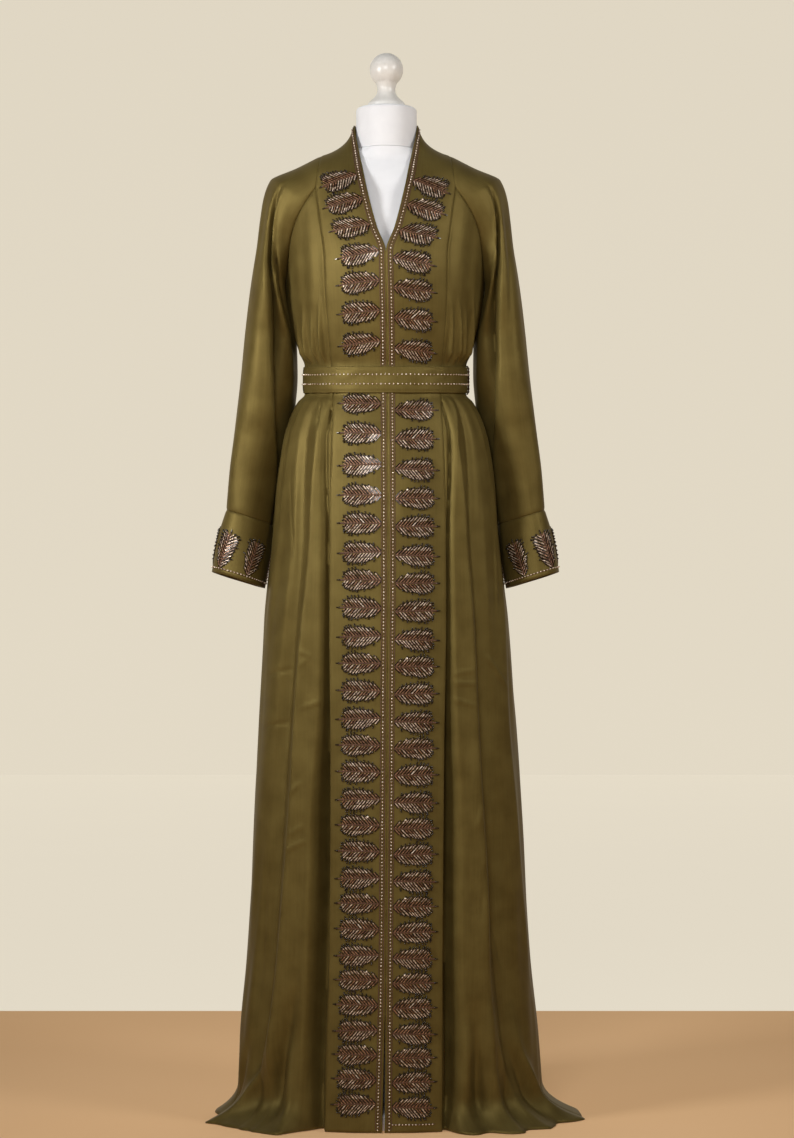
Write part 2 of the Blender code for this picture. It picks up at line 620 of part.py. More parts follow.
def mitre(panels):
    """Turns the normals along each seam so that the two walls' edges face each other squarely."""
    places, owners = [], []
    for number, panel in enumerate(panels):
        for rows, columns in panel.edges():
            for r, c in zip(rows, columns):
                places.append(panel.points[r, c])
                owners.append((number, r, c))
    tree = kdtree.KDTree(len(places))
    for index, place in enumerate(places):
        tree.insert(Vector(place), index)
    tree.balance()
    old = [panel.normals.copy() for panel in panels]
    for number, panel in enumerate(panels):
        for rows, columns in panel.edges():
            anchors = []
            for i, (r, c) in enumerate(zip(rows, columns)):
                found = tree.find_range(Vector(panel.points[r, c]), SAME_POINT)
                near = {owners[index] for _, index, _ in found}
                joined = any(owner[0] != number for owner in near)
                if joined or i % panel.corners == 0:
                    total = sum(old[n][a, b] for n, a, b in near)
                    panel.normals[r, c] = total / np.linalg.norm(total)
                    anchors.append(i)
            if joined_runs(anchors, len(rows)):
                for axis in range(3):
                    kept = panel.normals[rows[anchors], columns[anchors], axis]
                    panel.normals[rows, columns, axis] = np.interp(range(len(rows)), anchors, kept)


def joined_runs(anchors, count):
    """Whether an edge has corners with other points between them."""
    return 2 <= len(anchors) < count


def cloth_wall(panel):
    """A closed wall of cloth around a panel's points."""
    points = sway(panel.trimmed())
    outer, inner = points + panel.normals * CLOTH / 2, points - panel.normals * CLOTH / 2
    return wall_object(panel.name, outer, inner, "satin")


def wall_object(name, outer, inner, material):
    """A closed wall between two grids of points."""
    rows, columns = outer.shape[:2]
    mesh = bmesh.new()
    sides = [[[mesh.verts.new(p) for p in row] for row in layer] for layer in (outer, inner)]
    for r in range(rows - 1):
        for c in range(columns - 1):
            for layer, order in zip(sides, (1, -1)):
                a, b = layer[r][c], layer[r][c + 1]
                d, e = layer[r + 1][c], layer[r + 1][c + 1]
                mesh.faces.new((a, b, e)[::order])
                mesh.faces.new((a, e, d)[::order])
    rim = [(0, c) for c in range(columns)] + [(r, columns - 1) for r in range(1, rows)]
    rim += [(rows - 1, c) for c in range(columns - 2, -1, -1)] + [(r, 0) for r in range(rows - 2, 0, -1)]
    for (r0, c0), (r1, c1) in zip(rim, rim[1:] + rim[:1]):
        a, b = sides[0][r0][c0], sides[0][r1][c1]
        d, e = sides[1][r0][c0], sides[1][r1][c1]
        mesh.faces.new((b, a, d))
        mesh.faces.new((b, d, e))
    bmesh.ops.recalc_face_normals(mesh, faces=mesh.faces)
    return finish_object(name, mesh, material)


def finish_object(name, mesh, material):
    """Puts a bmesh into the scene as a smooth-shaded object with its own material."""
    data = bpy.data.meshes.new(name)
    mesh.to_mesh(data)
    mesh.free()
    data.shade_smooth()
    data.set_sharp_from_angle(angle=SHARP_ANGLE)
    colour, roughness, metallic = MATERIALS[material]
    surface = bpy.data.materials.new(f"{name}_{material}")
    surface.use_nodes = True
    shader = surface.node_tree.nodes["Principled BSDF"]
    shader.inputs["Base Color"].default_value = (*colour, 1.0)
    shader.inputs["Roughness"].default_value = roughness
    shader.inputs["Metallic"].default_value = metallic
    data.materials.append(surface)
    item = bpy.data.objects.new(name, data)
    bpy.context.scene.collection.objects.link(item)
    return item


def stacked_object(name, sections, segments, material):
    """A closed body of elliptic sections, each a height, a half width, a front depth and a back depth."""
    mesh = bmesh.new()
    rings = []
    for height, side, front, back in sections:
        ring = []
        for i in range(segments):
            turn = 2 * math.pi * i / segments
            depth = front if math.cos(turn) >= 0 else back
            ring.append(mesh.verts.new((side * math.sin(turn), -depth * math.cos(turn), height)))
        rings.append(ring)
    for low, high in zip(rings, rings[1:]):
        for i in range(segments):
            j = (i + 1) % segments
            mesh.faces.new((low[i], low[j], high[j], high[i]))
    mesh.faces.new(rings[0][::-1])
    mesh.faces.new(rings[-1])
    bmesh.ops.recalc_face_normals(mesh, faces=mesh.faces)
    return finish_object(name, mesh, material)


def turned_sections(profile):
    """Round sections from heights and radii."""
    return [(height, radius, radius, radius) for height, radius in profile]


def rounded_rim(top, radius, rounding):
    """Heights and radii of a quarter-round rim below a flat top."""
    turns = [math.pi / 2 * i / RIM_STEPS for i in range(RIM_STEPS + 1)]
    return [(top - rounding * (1 - math.sin(t)), radius - rounding * (1 - math.cos(t))) for t in turns]


def tube_object(name, path, radius, segments, material):
    """A round closed cord along a path of points."""
    path = [Vector(point) for point in path]
    mesh = bmesh.new()
    side = Vector((0.0, 1.0, 0.0))
    rings = []
    for i, point in enumerate(path):
        way = (path[min(i + 1, len(path) - 1)] - path[max(i - 1, 0)]).normalized()
        side = (side - way * side.dot(way)).normalized()
        other = way.cross(side)
        turns = [2 * math.pi * k / segments for k in range(segments)]
        rings.append([mesh.verts.new(point + (side * math.cos(t) + other * math.sin(t)) * radius)
                      for t in turns])
    for low, high in zip(rings, rings[1:]):
        for i in range(segments):
            j = (i + 1) % segments
            mesh.faces.new((low[i], low[j], high[j], high[i]))
    mesh.faces.new(rings[0][::-1])
    mesh.faces.new(rings[-1])
    bmesh.ops.recalc_face_normals(mesh, faces=mesh.faces)
    return finish_object(name, mesh, material)


def make_garment():
    """Fronts, back, sleeves, cuffs and bands, with their seams mitred together."""
    rows = len(BODY_ROWS) - 1 + BODICE_ROWS
    back_columns = 2 * (BACK_SPLIT * RAGLAN_ROWS + NECK_ROWS)
    band_rows = rows + len(band_places()) - 1
    panels = [Panel("back", back_point, back_columns, rows, corners=BACK_SPLIT)]
    for side, name in SIDE_NAMES.items():
        def own_front(u, v, side=side):
            return front_point(u, v, side)
        panels += [
            Panel(f"front_{name}", own_front, FRONT_SPLIT * RAGLAN_ROWS, rows, side, FRONT_SPLIT),
            Panel(f"sleeve_{name}", sleeve_point, SLEEVE_COLUMNS, SLEEVE_LAST, side),
            Panel(f"cuff_{name}", cuff_point, SLEEVE_COLUMNS, 3, side, outward=-1),
            Panel(f"band_{name}", band_point, BAND_COLUMNS, band_rows, side),
        ]
    mitre(panels)
    for panel in panels:
        cloth_wall(panel)


def make_belt():
    """The belt, once round with its ends lapped at the back."""
    travel, share = np.meshgrid(np.linspace(0, 360 + BELT_LAP, BELT_COLUMNS + 1), (0.0, 1.0))
    outer = sway(belt_point(travel, share, BELT_THICK / 2))
    inner = sway(belt_point(travel, share, -BELT_THICK / 2))
    wall_object("belt", outer, inner, "satin")


def make_belt_loops():
    """A cord loop over the belt at each side seam, its ends resting on the cloth."""
    belt_face = BELT_SIDE + BELT_THICK / 2 + LOOP_RADIUS + SEAM_GAP
    cloth_face = CLOTH / 2 + LOOP_RADIUS + SEAM_GAP
    under = float(BODY.read("side", BELT_MIDDLE - LOOP_UNDER - LOOP_RADIUS)) + cloth_face
    over = float(BODY.read("side", BELT_MIDDLE + LOOP_OVER + LOOP_RADIUS)) + cloth_face
    for side, name in SIDE_NAMES.items():
        out = belt_face + LOOP_STAND_OFF[side]
        path = ((under, -LOOP_UNDER), (out, -LOOP_STRAIGHT), (out, 0.0),
                (out, LOOP_STRAIGHT), (over, LOOP_OVER))
        path = [(side * x + float(SWAY.read("middle", BELT_MIDDLE)), 0.0, BELT_MIDDLE + z) for x, z in path]
        tube_object(f"belt_loop_{name}", path, LOOP_RADIUS, 8, "rouleau")


def make_cuff_hooks():
    """A small wire hook on the front edge of each cuff slit, reaching below the cuff."""
    u = np.array([HOOK_ROUND])
    top, low = (cuff_point(u, np.array([v]))[0] for v in (HOOK_DOWN, 1.0))
    normal = -surface_normals(cuff_point, u, np.array([HOOK_DOWN]))[0]
    out = normal * (CLOTH / 2 + HOOK_RADIUS + SEAM_GAP)
    down = (low - top) / np.linalg.norm(low - top)
    for side, name in SIDE_NAMES.items():
        path = [top + out + down * HOOK_REACH * step + normal * swing for step, swing in HOOK_BENDS]
        path = sway(mirrored(np.array(path), side))
        tube_object(f"cuff_hook_{name}", path, HOOK_RADIUS, 6, "hook_metal")


def make_form():
    """The padded torso with its neck cap and turned finial."""
    stacked_object("form_torso", list(zip(*TORSO.columns.values())), 26, "jersey")
    low = NECK_SEAM + SEAM_GAP
    profile = [(low, NECK_RADIUS)] + rounded_rim(CAP_TOP, NECK_RADIUS, CAP_ROUND)
    stacked_object("form_neck_cap", turned_sections(profile), 26, "jersey")
    foot = [(CAP_TOP + SEAM_GAP + height, radius) for height, radius in FINIAL_FOOT]
    start = math.asin(FINIAL_FOOT[-1][1] / BALL_RADIUS)
    turns = [start + (math.pi - BALL_CAP - start) * i / BALL_RINGS for i in range(BALL_RINGS + 1)]
    ball = [(BALL_MIDDLE - BALL_RADIUS * math.cos(t), BALL_RADIUS * math.sin(t)) for t in turns]
    stacked_object("form_finial", turned_sections(foot + ball), 18, "painted_wood")


def make_stand():
    """The pole under the torso and its round base."""
    pole = [(BASE_HEIGHT + SEAM_GAP, POLE_RADIUS), (TORSO_FOOT - SEAM_GAP, POLE_RADIUS)]
    stacked_object("stand_pole", turned_sections(pole), 16, "stand_metal")
    base = [(0.0, BASE_RADIUS)] + rounded_rim(BASE_HEIGHT, BASE_RADIUS, BASE_ROUND)
    stacked_object("stand_base", turned_sections(base), 32, "stand_metal")


def main():
    """Clears the scene and models every piece."""
    for item in list(bpy.data.objects):
        bpy.data.objects.remove(item, do_unlink=True)
    make_garment()
    make_belt()
    make_belt_loops()
    make_cuff_hooks()
    make_form()
    make_stand()


if __name__ == "__main__":
    main()
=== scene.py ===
"""A long olive satin abaya with beaded bands, belt and cuffs, on a limbless dress form with a stand.

Metres, +Z up, the garment's front towards -Y and +X to the viewer's right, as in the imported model. Paired
pieces are worked out for the right side and turned over for the left. Every cloth piece starts as a flat
grid that is moved to where the cloth hangs, and the beadwork is laid out flat and then sewn on to it.
"""

from __future__ import annotations

import json
import logging
import math
from collections.abc import Callable, Sequence
from dataclasses import dataclass, field
from enum import Enum

import bmesh
import bpy
import numpy as np
from mathutils import Matrix, Vector

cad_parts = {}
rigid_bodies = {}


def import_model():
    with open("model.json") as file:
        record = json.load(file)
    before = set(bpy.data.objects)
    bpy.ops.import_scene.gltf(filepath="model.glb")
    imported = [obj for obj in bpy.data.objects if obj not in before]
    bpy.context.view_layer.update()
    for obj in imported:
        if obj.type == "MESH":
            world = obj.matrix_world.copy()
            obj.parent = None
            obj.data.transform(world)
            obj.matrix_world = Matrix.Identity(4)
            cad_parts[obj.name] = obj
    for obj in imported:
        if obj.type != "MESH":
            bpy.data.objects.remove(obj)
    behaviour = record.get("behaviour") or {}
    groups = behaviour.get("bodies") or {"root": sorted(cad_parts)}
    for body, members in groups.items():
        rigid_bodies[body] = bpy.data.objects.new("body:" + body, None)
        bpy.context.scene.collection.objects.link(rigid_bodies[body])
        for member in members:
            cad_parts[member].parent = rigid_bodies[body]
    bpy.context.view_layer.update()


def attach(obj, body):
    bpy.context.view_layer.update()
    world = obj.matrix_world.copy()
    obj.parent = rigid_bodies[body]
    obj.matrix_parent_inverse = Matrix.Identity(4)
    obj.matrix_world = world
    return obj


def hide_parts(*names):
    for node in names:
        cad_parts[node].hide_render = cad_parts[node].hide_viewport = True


Array = np.ndarray
Patch = Callable[[Array, Array], Array]

BODY_NAME = "root"
MM = 0.001

# Heights of the garment, shared by the pieces that meet there
HEM = 0.0010
BELT_LOW, BELT_HIGH, BELT_MIDDLE = 1.1175, 1.1615, 1.1395
NECK_JOIN = 1.427
CLOTH = 0.0014
AROUND = 0.19

# How far in front of the middle the garment follows its front closure in full
SWAY_DEPTH = 0.13

log = logging.getLogger("abaya")


class Side(Enum):
    """The garment's two sides, as the viewer sees them."""

    LEFT = -1
    RIGHT = 1

    @property
    def word(self) -> str:
        """The side's name in a node's name."""
        return self.name.lower()


def smooth_step(value: Array | float) -> Array:
    """Gives 0 below 0, 1 above 1, and an easy rise between."""
    t = np.clip(value, 0.0, 1.0)
    return t * t * (3 - 2 * t)


def angle_between(angle: Array | float, other: Array | float) -> Array:
    """Gives an angle less another one, the short way round, from -180 to 180 degrees."""
    return (angle - other + 180.0) % 360.0 - 180.0


def upright(x: Array | float, y: Array | float, z: Array | float) -> Array:
    """Joins three coordinates into points, with the coordinates along the last axis."""
    return np.stack(np.broadcast_arrays(x, y, z), axis=-1).astype(float)


def unit(vectors: Array) -> Array:
    """Scales vectors, which lie along the last axis, to a length of one."""
    return vectors / np.maximum(np.linalg.norm(vectors, axis=-1, keepdims=True), 1e-12)


def grid_normals(points: Array) -> Array:
    """Gives the unit normals of a grid of points, from its rows and columns."""
    return unit(np.cross(np.gradient(points, axis=1), np.gradient(points, axis=0)))


@dataclass(frozen=True)
class SizeTable:
    """Sizes under named columns. The first column is the place that the others are read at."""

    columns: tuple[str, ...]
    rows: tuple[tuple[float, ...], ...]

    def column(self, name: str) -> Array:
        """Gives one column's numbers."""
        return np.array(self.rows, float)[:, self.columns.index(name)]

    def read(self, name: str, place: Array | float) -> Array:
        """Reads a smooth curve through one column, which never overshoots its rows.

        Args:
            name: The column.
            place: Where to read it.

        Returns:
            The sizes there.
        """
        x, y = self.column(self.columns[0]), self.column(name)
        step = np.diff(x)
        slope = np.diff(y) / step
        both, total = slope[:-1] * slope[1:], slope[:-1] + slope[1:]
        tangent = np.zeros_like(y)
        tangent[1:-1] = np.where(both > 0, 2 * both / np.where(total == 0, 1, total), 0)
        tangent[0], tangent[-1] = slope[0], slope[-1]
        at = np.clip(np.asarray(place, float), x[0], x[-1])
        k = np.clip(np.searchsorted(x, at, side="right") - 1, 0, len(step) - 1)
        t = (at - x[k]) / step[k]
        rise = y[k] * (1 + 2 * t) * (1 - t) ** 2 + y[k + 1] * t ** 2 * (3 - 2 * t)
        lean = step[k] * (tangent[k] * t * (1 - t) ** 2 - tangent[k + 1] * t ** 2 * (1 - t))
        return rise + lean

    def point(self, name: str, place: Array | float) -> Array:
        """Reads points whose coordinates stand in three columns, such as turn_x, turn_y and turn_z."""
        return upright(*(self.read(f"{name}_{axis}", place) for axis in "xyz"))


@dataclass(frozen=True)
class Crease:
    """A soft fold, or a trough where its rise is below zero, that runs from one place to another.

    The places are metres across and along the piece, near and far are its half widths on its two sides,
    and soft is the share of its length over which each end fades.
    """

    start: tuple[float, float]
    end: tuple[float, float]
    rise: float
    near: float
    far: float
    soft: float = 0.35

    def relief(self, across: Array, along: Array) -> Array:
        """Gives how far the fold stands out of the cloth.

        Args:
            across: Metres across the piece.
            along: Metres along the piece.

        Returns:
            The rise in metres.
        """
        run, climb = self.end[0] - self.start[0], self.end[1] - self.start[1]
        length = math.hypot(run, climb)
        x, y = across - self.start[0], along - self.start[1]
        share = (x * run + y * climb) / length ** 2
        off = (x * climb - y * run) / length
        width = np.where(off < 0, self.near, self.far)
        fade = smooth_step(share / self.soft) * smooth_step((1 - share) / self.soft)
        return self.rise * np.exp(-(off / width) ** 2) * fade


@dataclass(frozen=True)
class Fold:
    """A long fold that wanders from the belt to the hem, a sharp crest or a rounder trough.

    Each row has a height, the angle round from the front, the rise in mm, and the half widths in degrees
    towards smaller and larger angles.
    """

    rows: tuple[tuple[float, float, float, float, float], ...]
    crest: float = 0.16

    def relief(self, angle: Array, height: Array) -> Array:
        """Gives how far the fold stands out.

        Args:
            angle: Degrees round from the front.
            height: Heights in metres.

        Returns:
            The relief in metres.
        """
        sizes = SizeTable(("height", "angle", "rise", "near", "far"), self.rows)
        off = angle_between(angle, sizes.read("angle", height))
        off = off / np.where(off < 0, sizes.read("near", height), sizes.read("far", height))
        rise = sizes.read("rise", height)
        power = np.where(rise > 0, 0.62, 1.0)
        return rise * MM * np.exp(self.crest ** (2 * power) - (off ** 2 + self.crest ** 2) ** power)


@dataclass(frozen=True)
class Slackness:
    """The slight unevenness of hanging satin, as a few long waves that run mostly up and down."""

    rise: float = 0.00022
    waves: int = 9
    across_mm: tuple[float, float] = (26.0, 90.0)
    along_mm: tuple[float, float] = (130.0, 520.0)
    seed: int = 7

    def relief(self, across: Array, along: Array) -> Array:
        """Gives how far the cloth wavers from its plain shape.

        Args:
            across: Metres across the piece.
            along: Metres along the piece.

        Returns:
            The rise in metres.
        """
        chance = np.random.default_rng(self.seed)
        total = np.zeros(np.broadcast(across, along).shape)
        for _ in range(self.waves):
            wide = chance.uniform(*self.across_mm) * MM
            tall = chance.uniform(*self.along_mm) * MM * chance.choice((-1.0, 1.0))
            turn = chance.uniform(0, 2 * math.pi)
            total = total + self.rise * np.sin(2 * math.pi * (across / wide + along / tall) + turn)
        return total


def linear(colour: str, alpha: float = 1.0) -> tuple[float, float, float, float]:
    """Turns an sRGB hex colour to linear light.

    Args:
        colour: Six hex digits.
        alpha: How solid the colour is.

    Returns:
        Red, green, blue and alpha.
    """
    parts = [int(colour[i:i + 2], 16) / 255 for i in (0, 2, 4)]
    red, green, blue = (c / 12.92 if c <= 0.04045 else ((c + 0.055) / 1.055) ** 2.4 for c in parts)
    return (red, green, blue, alpha)


Socket = bpy.types.NodeSocket
Links = dict[str | int, Socket]
# What varies over a surface: the share of its light tone, and bumps with their strength and depth
Pattern = tuple[Socket, list[tuple[Socket, float, float]]]


def add_node(tree: bpy.types.NodeTree, kind: str, settings: dict[str | int, object] | None = None,
             links: Links | None = None) -> bpy.types.Node:
    """Adds a node with its settings and its links.

    Args:
        tree: The material's node tree.
        kind: The node's type.
        settings: Values by property name, or by an input's name or number.
        links: The socket that feeds each input, by the input's name or number.

    Returns:
        The new node.
    """
    node = tree.nodes.new(kind)
    for name, value in (settings or {}).items():
        if isinstance(name, str) and hasattr(node, name):
            setattr(node, name, value)
        else:
            node.inputs[name].default_value = value
    for name, socket in (links or {}).items():
        tree.links.new(socket, node.inputs[name])
    return node


@dataclass(frozen=True)
class Finish:
    """What a surface is made of: two tones of its colour, its shader's values and its pattern."""

    name: str
    shade: str
    light: str

    def values(self) -> dict[str | int, object]:
        """Gives the values that are the same all over the surface."""
        return {}

    def pattern(self, tree: bpy.types.NodeTree, shader: bpy.types.Node, space: Socket) -> Pattern:
        """Adds the nodes that vary over the surface. Each finish below has its own."""
        raise NotImplementedError

    def material(self) -> bpy.types.Material:
        """Makes the finish's material.

        Returns:
            The material.
        """
        surface = bpy.data.materials.new(self.name)
        surface.use_nodes = True
        tree = surface.node_tree
        tree.nodes.clear()
        shader = add_node(tree, "ShaderNodeBsdfPrincipled", self.values())
        space = add_node(tree, "ShaderNodeTexCoord").outputs["Object"]
        tone, bumps = self.pattern(tree, shader, space)
        colour = add_node(tree, "ShaderNodeMix", {
            "data_type": "RGBA", 6: linear(self.shade), 7: linear(self.light)}, {0: tone})
        tree.links.new(colour.outputs[2], shader.inputs["Base Color"])
        under: Links = {}
        for height, strength, depth in bumps:
            bump = add_node(tree, "ShaderNodeBump", {"Strength": strength, "Distance": depth},
                            {"Height": height} | under)
            under = {"Normal": bump.outputs["Normal"]}
            tree.links.new(bump.outputs["Normal"], shader.inputs["Normal"])
        add_node(tree, "ShaderNodeOutputMaterial", links={"Surface": shader.outputs["BSDF"]})
        return surface


@dataclass(frozen=True)
class OliveSatin(Finish):
    """Heavy polyester satin, woven with long warp floats and calendered.

    The floats give broad soft highlights that run across the folds, and a faint streak along the warp.
    """

    name: str = "olive_satin"
    shade: str = "564925"
    light: str = "63562e"
    rough: float = 0.50
    # Threads lie 0.12 mm apart. They are drawn eight times as coarse, so that they show at all.
    thread_mm: float = 0.95
    streak_mm: float = 2.6
    streak_long_mm: float = 60.0
    mottle_mm: float = 34.0

    def values(self) -> dict[str | int, object]:
        """Gives the satin's sheen and gloss."""
        return {"Roughness": self.rough, "Metallic": 0.34, "IOR": 1.5, "Specular Tint": linear("a89a68"),
                "Sheen Weight": 0.03, "Sheen Roughness": 0.4, "Sheen Tint": linear("b3a264")}

    def pattern(self, tree: bpy.types.NodeTree, shader: bpy.types.Node, space: Socket) -> Pattern:
        """Adds warp streaks, a soft mottle and the raised threads.

        Args:
            tree: The material's node tree.
            shader: The surface shader.
            space: Object coordinates.

        Returns:
            The pattern.
        """
        cloth = add_node(tree, "ShaderNodeUVMap", {"uv_map": "cloth"}).outputs["UV"]
        streak_at = add_node(tree, "ShaderNodeMapping", {
            "Scale": (1 / (self.streak_mm * MM), 1 / (self.streak_long_mm * MM), 1.0)}, {"Vector": cloth})
        streak = add_node(tree, "ShaderNodeTexNoise", {"Scale": 1.0, "Detail": 2.0, "Roughness": 0.3},
                          {"Vector": streak_at.outputs["Vector"]})
        mottle = add_node(tree, "ShaderNodeTexNoise", {"Scale": 1 / (self.mottle_mm * MM), "Detail": 4.0},
                          {"Vector": space})
        both = add_node(tree, "ShaderNodeMath", {"operation": "MULTIPLY_ADD", 1: 0.3},
                        {0: streak.outputs["Fac"], 2: mottle.outputs["Fac"]})
        tone = add_node(tree, "ShaderNodeMapRange", {"From Min": 0.45, "From Max": 0.85},
                        {"Value": both.outputs["Value"]})
        rough = add_node(tree, "ShaderNodeMapRange", {
            "To Min": self.rough - 0.05, "To Max": self.rough + 0.07}, {"Value": mottle.outputs["Fac"]})
        tree.links.new(rough.outputs["Result"], shader.inputs["Roughness"])
        thread_at = add_node(tree, "ShaderNodeMapping", {
            "Scale": (1 / (self.thread_mm * MM), 0.22 / (self.thread_mm * MM), 1.0)}, {"Vector": cloth})
        thread = add_node(tree, "ShaderNodeTexNoise", {"Scale": 1.0, "Detail": 2.0},
                          {"Vector": thread_at.outputs["Vector"]})
        return tone.outputs["Result"], [(thread.outputs["Fac"], 0.25, 0.00018),
                                        (mottle.outputs["Fac"], 0.5, 0.0011)]


@dataclass(frozen=True)
class GlassBead(Finish):
    """Cut glass beads with a fired metal lining, which gives each one a small sharp glint."""

    name: str = "bronze_bugle_bead"
    shade: str = "583a29"
    light: str = "a87d60"
    rough: float = 0.34
    metal: float = 0.35
    # Each bead is a few millimetres long, so the tone changes from bead to bead.
    bead_mm: float = 3.2

    def values(self) -> dict[str | int, object]:
        """Gives the bead's gloss."""
        return {"Roughness": self.rough, "Metallic": self.metal, "IOR": 1.52, "Coat Weight": 0.15,
                "Coat Roughness": 0.15}

    def pattern(self, tree: bpy.types.NodeTree, shader: bpy.types.Node, space: Socket) -> Pattern:
        """Changes the tone from one bead to the next.

        Args:
            tree: The material's node tree.
            shader: The surface shader.
            space: Object coordinates.

        Returns:
            The pattern.
        """
        spots = add_node(tree, "ShaderNodeTexNoise", {"Scale": 1 / (self.bead_mm * MM), "Detail": 1.0},
                         {"Vector": space})
        tone = add_node(tree, "ShaderNodeMapRange", {"From Min": 0.36, "From Max": 0.64},
                        {"Value": spots.outputs["Fac"]})
        return tone.outputs["Result"], []


@dataclass(frozen=True)
class TwistedThread(Finish):
    """Dyed polyester thread and cord. The twist gives fine slanting ridges and no gloss."""

    name: str = "brown_cord"
    shade: str = "331d11"
    light: str = "653f26"
    rough: float = 0.62
    ply_mm: float = 1.1

    def values(self) -> dict[str | int, object]:
        """Gives the thread's low sheen."""
        return {"Roughness": self.rough, "IOR": 1.5, "Sheen Weight": 0.04, "Sheen Roughness": 0.5}

    def pattern(self, tree: bpy.types.NodeTree, shader: bpy.types.Node, space: Socket) -> Pattern:
        """Adds the plies as slanting bands.

        Args:
            tree: The material's node tree.
            shader: The surface shader.
            space: Object coordinates.

        Returns:
            The pattern.
        """
        ply = add_node(tree, "ShaderNodeTexWave", {
            "bands_direction": "DIAGONAL", "Scale": 0.32 / (self.ply_mm * MM), "Distortion": 2.0,
            "Detail": 1.0}, {"Vector": space})
        return ply.outputs["Fac"], [(ply.outputs["Fac"], 0.6, 0.0002)]


@dataclass(frozen=True)
class CottonJersey(Finish):
    """Knitted cotton jersey stretched over wadding, which gives a soft matt white with fine ribs."""

    name: str = "white_jersey"
    shade: str = "d4d5d8"
    light: str = "e4e5e7"
    # Knit ribs lie 0.6 mm apart. They are drawn at 1.4 mm, so that they show.
    rib_mm: float = 1.4
    uneven_mm: float = 25.0

    def values(self) -> dict[str | int, object]:
        """Gives the knit's matt surface."""
        return {"Roughness": 0.88, "IOR": 1.5, "Sheen Weight": 0.35, "Sheen Roughness": 0.6}

    def pattern(self, tree: bpy.types.NodeTree, shader: bpy.types.Node, space: Socket) -> Pattern:
        """Adds the ribs and a slight unevenness.

        Args:
            tree: The material's node tree.
            shader: The surface shader.
            space: Object coordinates.

        Returns:
            The pattern.
        """
        uneven = add_node(tree, "ShaderNodeTexNoise", {"Scale": 1 / (self.uneven_mm * MM), "Detail": 4.0},
                          {"Vector": space})
        ribs = add_node(tree, "ShaderNodeTexWave", {
            "bands_direction": "X", "Scale": 0.32 / (self.rib_mm * MM), "Distortion": 0.6,
            "Detail": 1.0}, {"Vector": space})
        return uneven.outputs["Fac"], [(ribs.outputs["Fac"], 0.35, 0.0002)]


@dataclass(frozen=True)
class PaintedBeech(Finish):
    """Turned beech under white satin lacquer. Faint turning rings and grain show through the paint."""

    name: str = "white_lacquered_beech"
    shade: str = "cbc9c3"
    light: str = "dedcd7"
    grain_mm: float = 2.5
    grain_long_mm: float = 28.5714

    def values(self) -> dict[str | int, object]:
        """Gives the lacquer's gloss."""
        return {"Roughness": 0.36, "IOR": 1.47, "Coat Weight": 0.25, "Coat Roughness": 0.18}

    def pattern(self, tree: bpy.types.NodeTree, shader: bpy.types.Node, space: Socket) -> Pattern:
        """Adds grain that telegraphs through the paint.

        Args:
            tree: The material's node tree.
            shader: The surface shader.
            space: Object coordinates.

        Returns:
            The pattern.
        """
        fine, long_way = 1 / (self.grain_mm * MM), 1 / (self.grain_long_mm * MM)
        stretched = add_node(tree, "ShaderNodeMapping", {"Scale": (fine, fine, long_way)}, {"Vector": space})
        grain = add_node(tree, "ShaderNodeTexNoise", {"Scale": 1.0, "Detail": 5.0},
                         {"Vector": stretched.outputs["Vector"]})
        return grain.outputs["Fac"], [(grain.outputs["Fac"], 0.12, 0.0003)]


@dataclass(frozen=True)
class PowderCoat(Finish):
    """Steel under baked powder coat or enamel, whose fine pebbled skin breaks up the gloss."""

    name: str = "grey_powder_coat"
    shade: str = "cfcfd1"
    light: str = "dadadc"
    rough: float = 0.45
    metal: float = 0.0
    # Powder beads are 0.1 mm across. They are drawn at 0.8 mm, so that they show.
    pebble_mm: float = 0.8

    def values(self) -> dict[str | int, object]:
        """Gives the coat's gloss."""
        return {"Roughness": self.rough, "Metallic": self.metal, "IOR": 1.5}

    def pattern(self, tree: bpy.types.NodeTree, shader: bpy.types.Node, space: Socket) -> Pattern:
        """Adds the pebbled skin.

        Args:
            tree: The material's node tree.
            shader: The surface shader.
            space: Object coordinates.

        Returns:
            The pattern.
        """
        pebble = add_node(tree, "ShaderNodeTexNoise", {"Scale": 1 / (self.pebble_mm * MM), "Detail": 2.0},
                          {"Vector": space})
        return pebble.outputs["Fac"], [(pebble.outputs["Fac"], 0.3, 0.0002)]


@dataclass(frozen=True)
class StudioPaper(Finish):
    """Matt seamless paper, for the wall and floor of the studio. The wall is lit evenly from behind."""

    name: str = "studio_paper"
    shade: str = "6a665e"
    light: str = "706c63"
    glow: float = 0.0
    glow_colour: str = "e8dfcc"

    def values(self) -> dict[str | int, object]:
        """Gives the paper's matt surface."""
        return {"Roughness": 0.92, "IOR": 1.45, "Specular IOR Level": 0.2,
                "Emission Color": linear(self.glow_colour), "Emission Strength": self.glow}

    def pattern(self, tree: bpy.types.NodeTree, shader: bpy.types.Node, space: Socket) -> Pattern:
        """Adds a slight unevenness."""
        uneven = add_node(tree, "ShaderNodeTexNoise", {"Scale": 1.6, "Detail": 2.0}, {"Vector": space})
        return uneven.outputs["Fac"], []


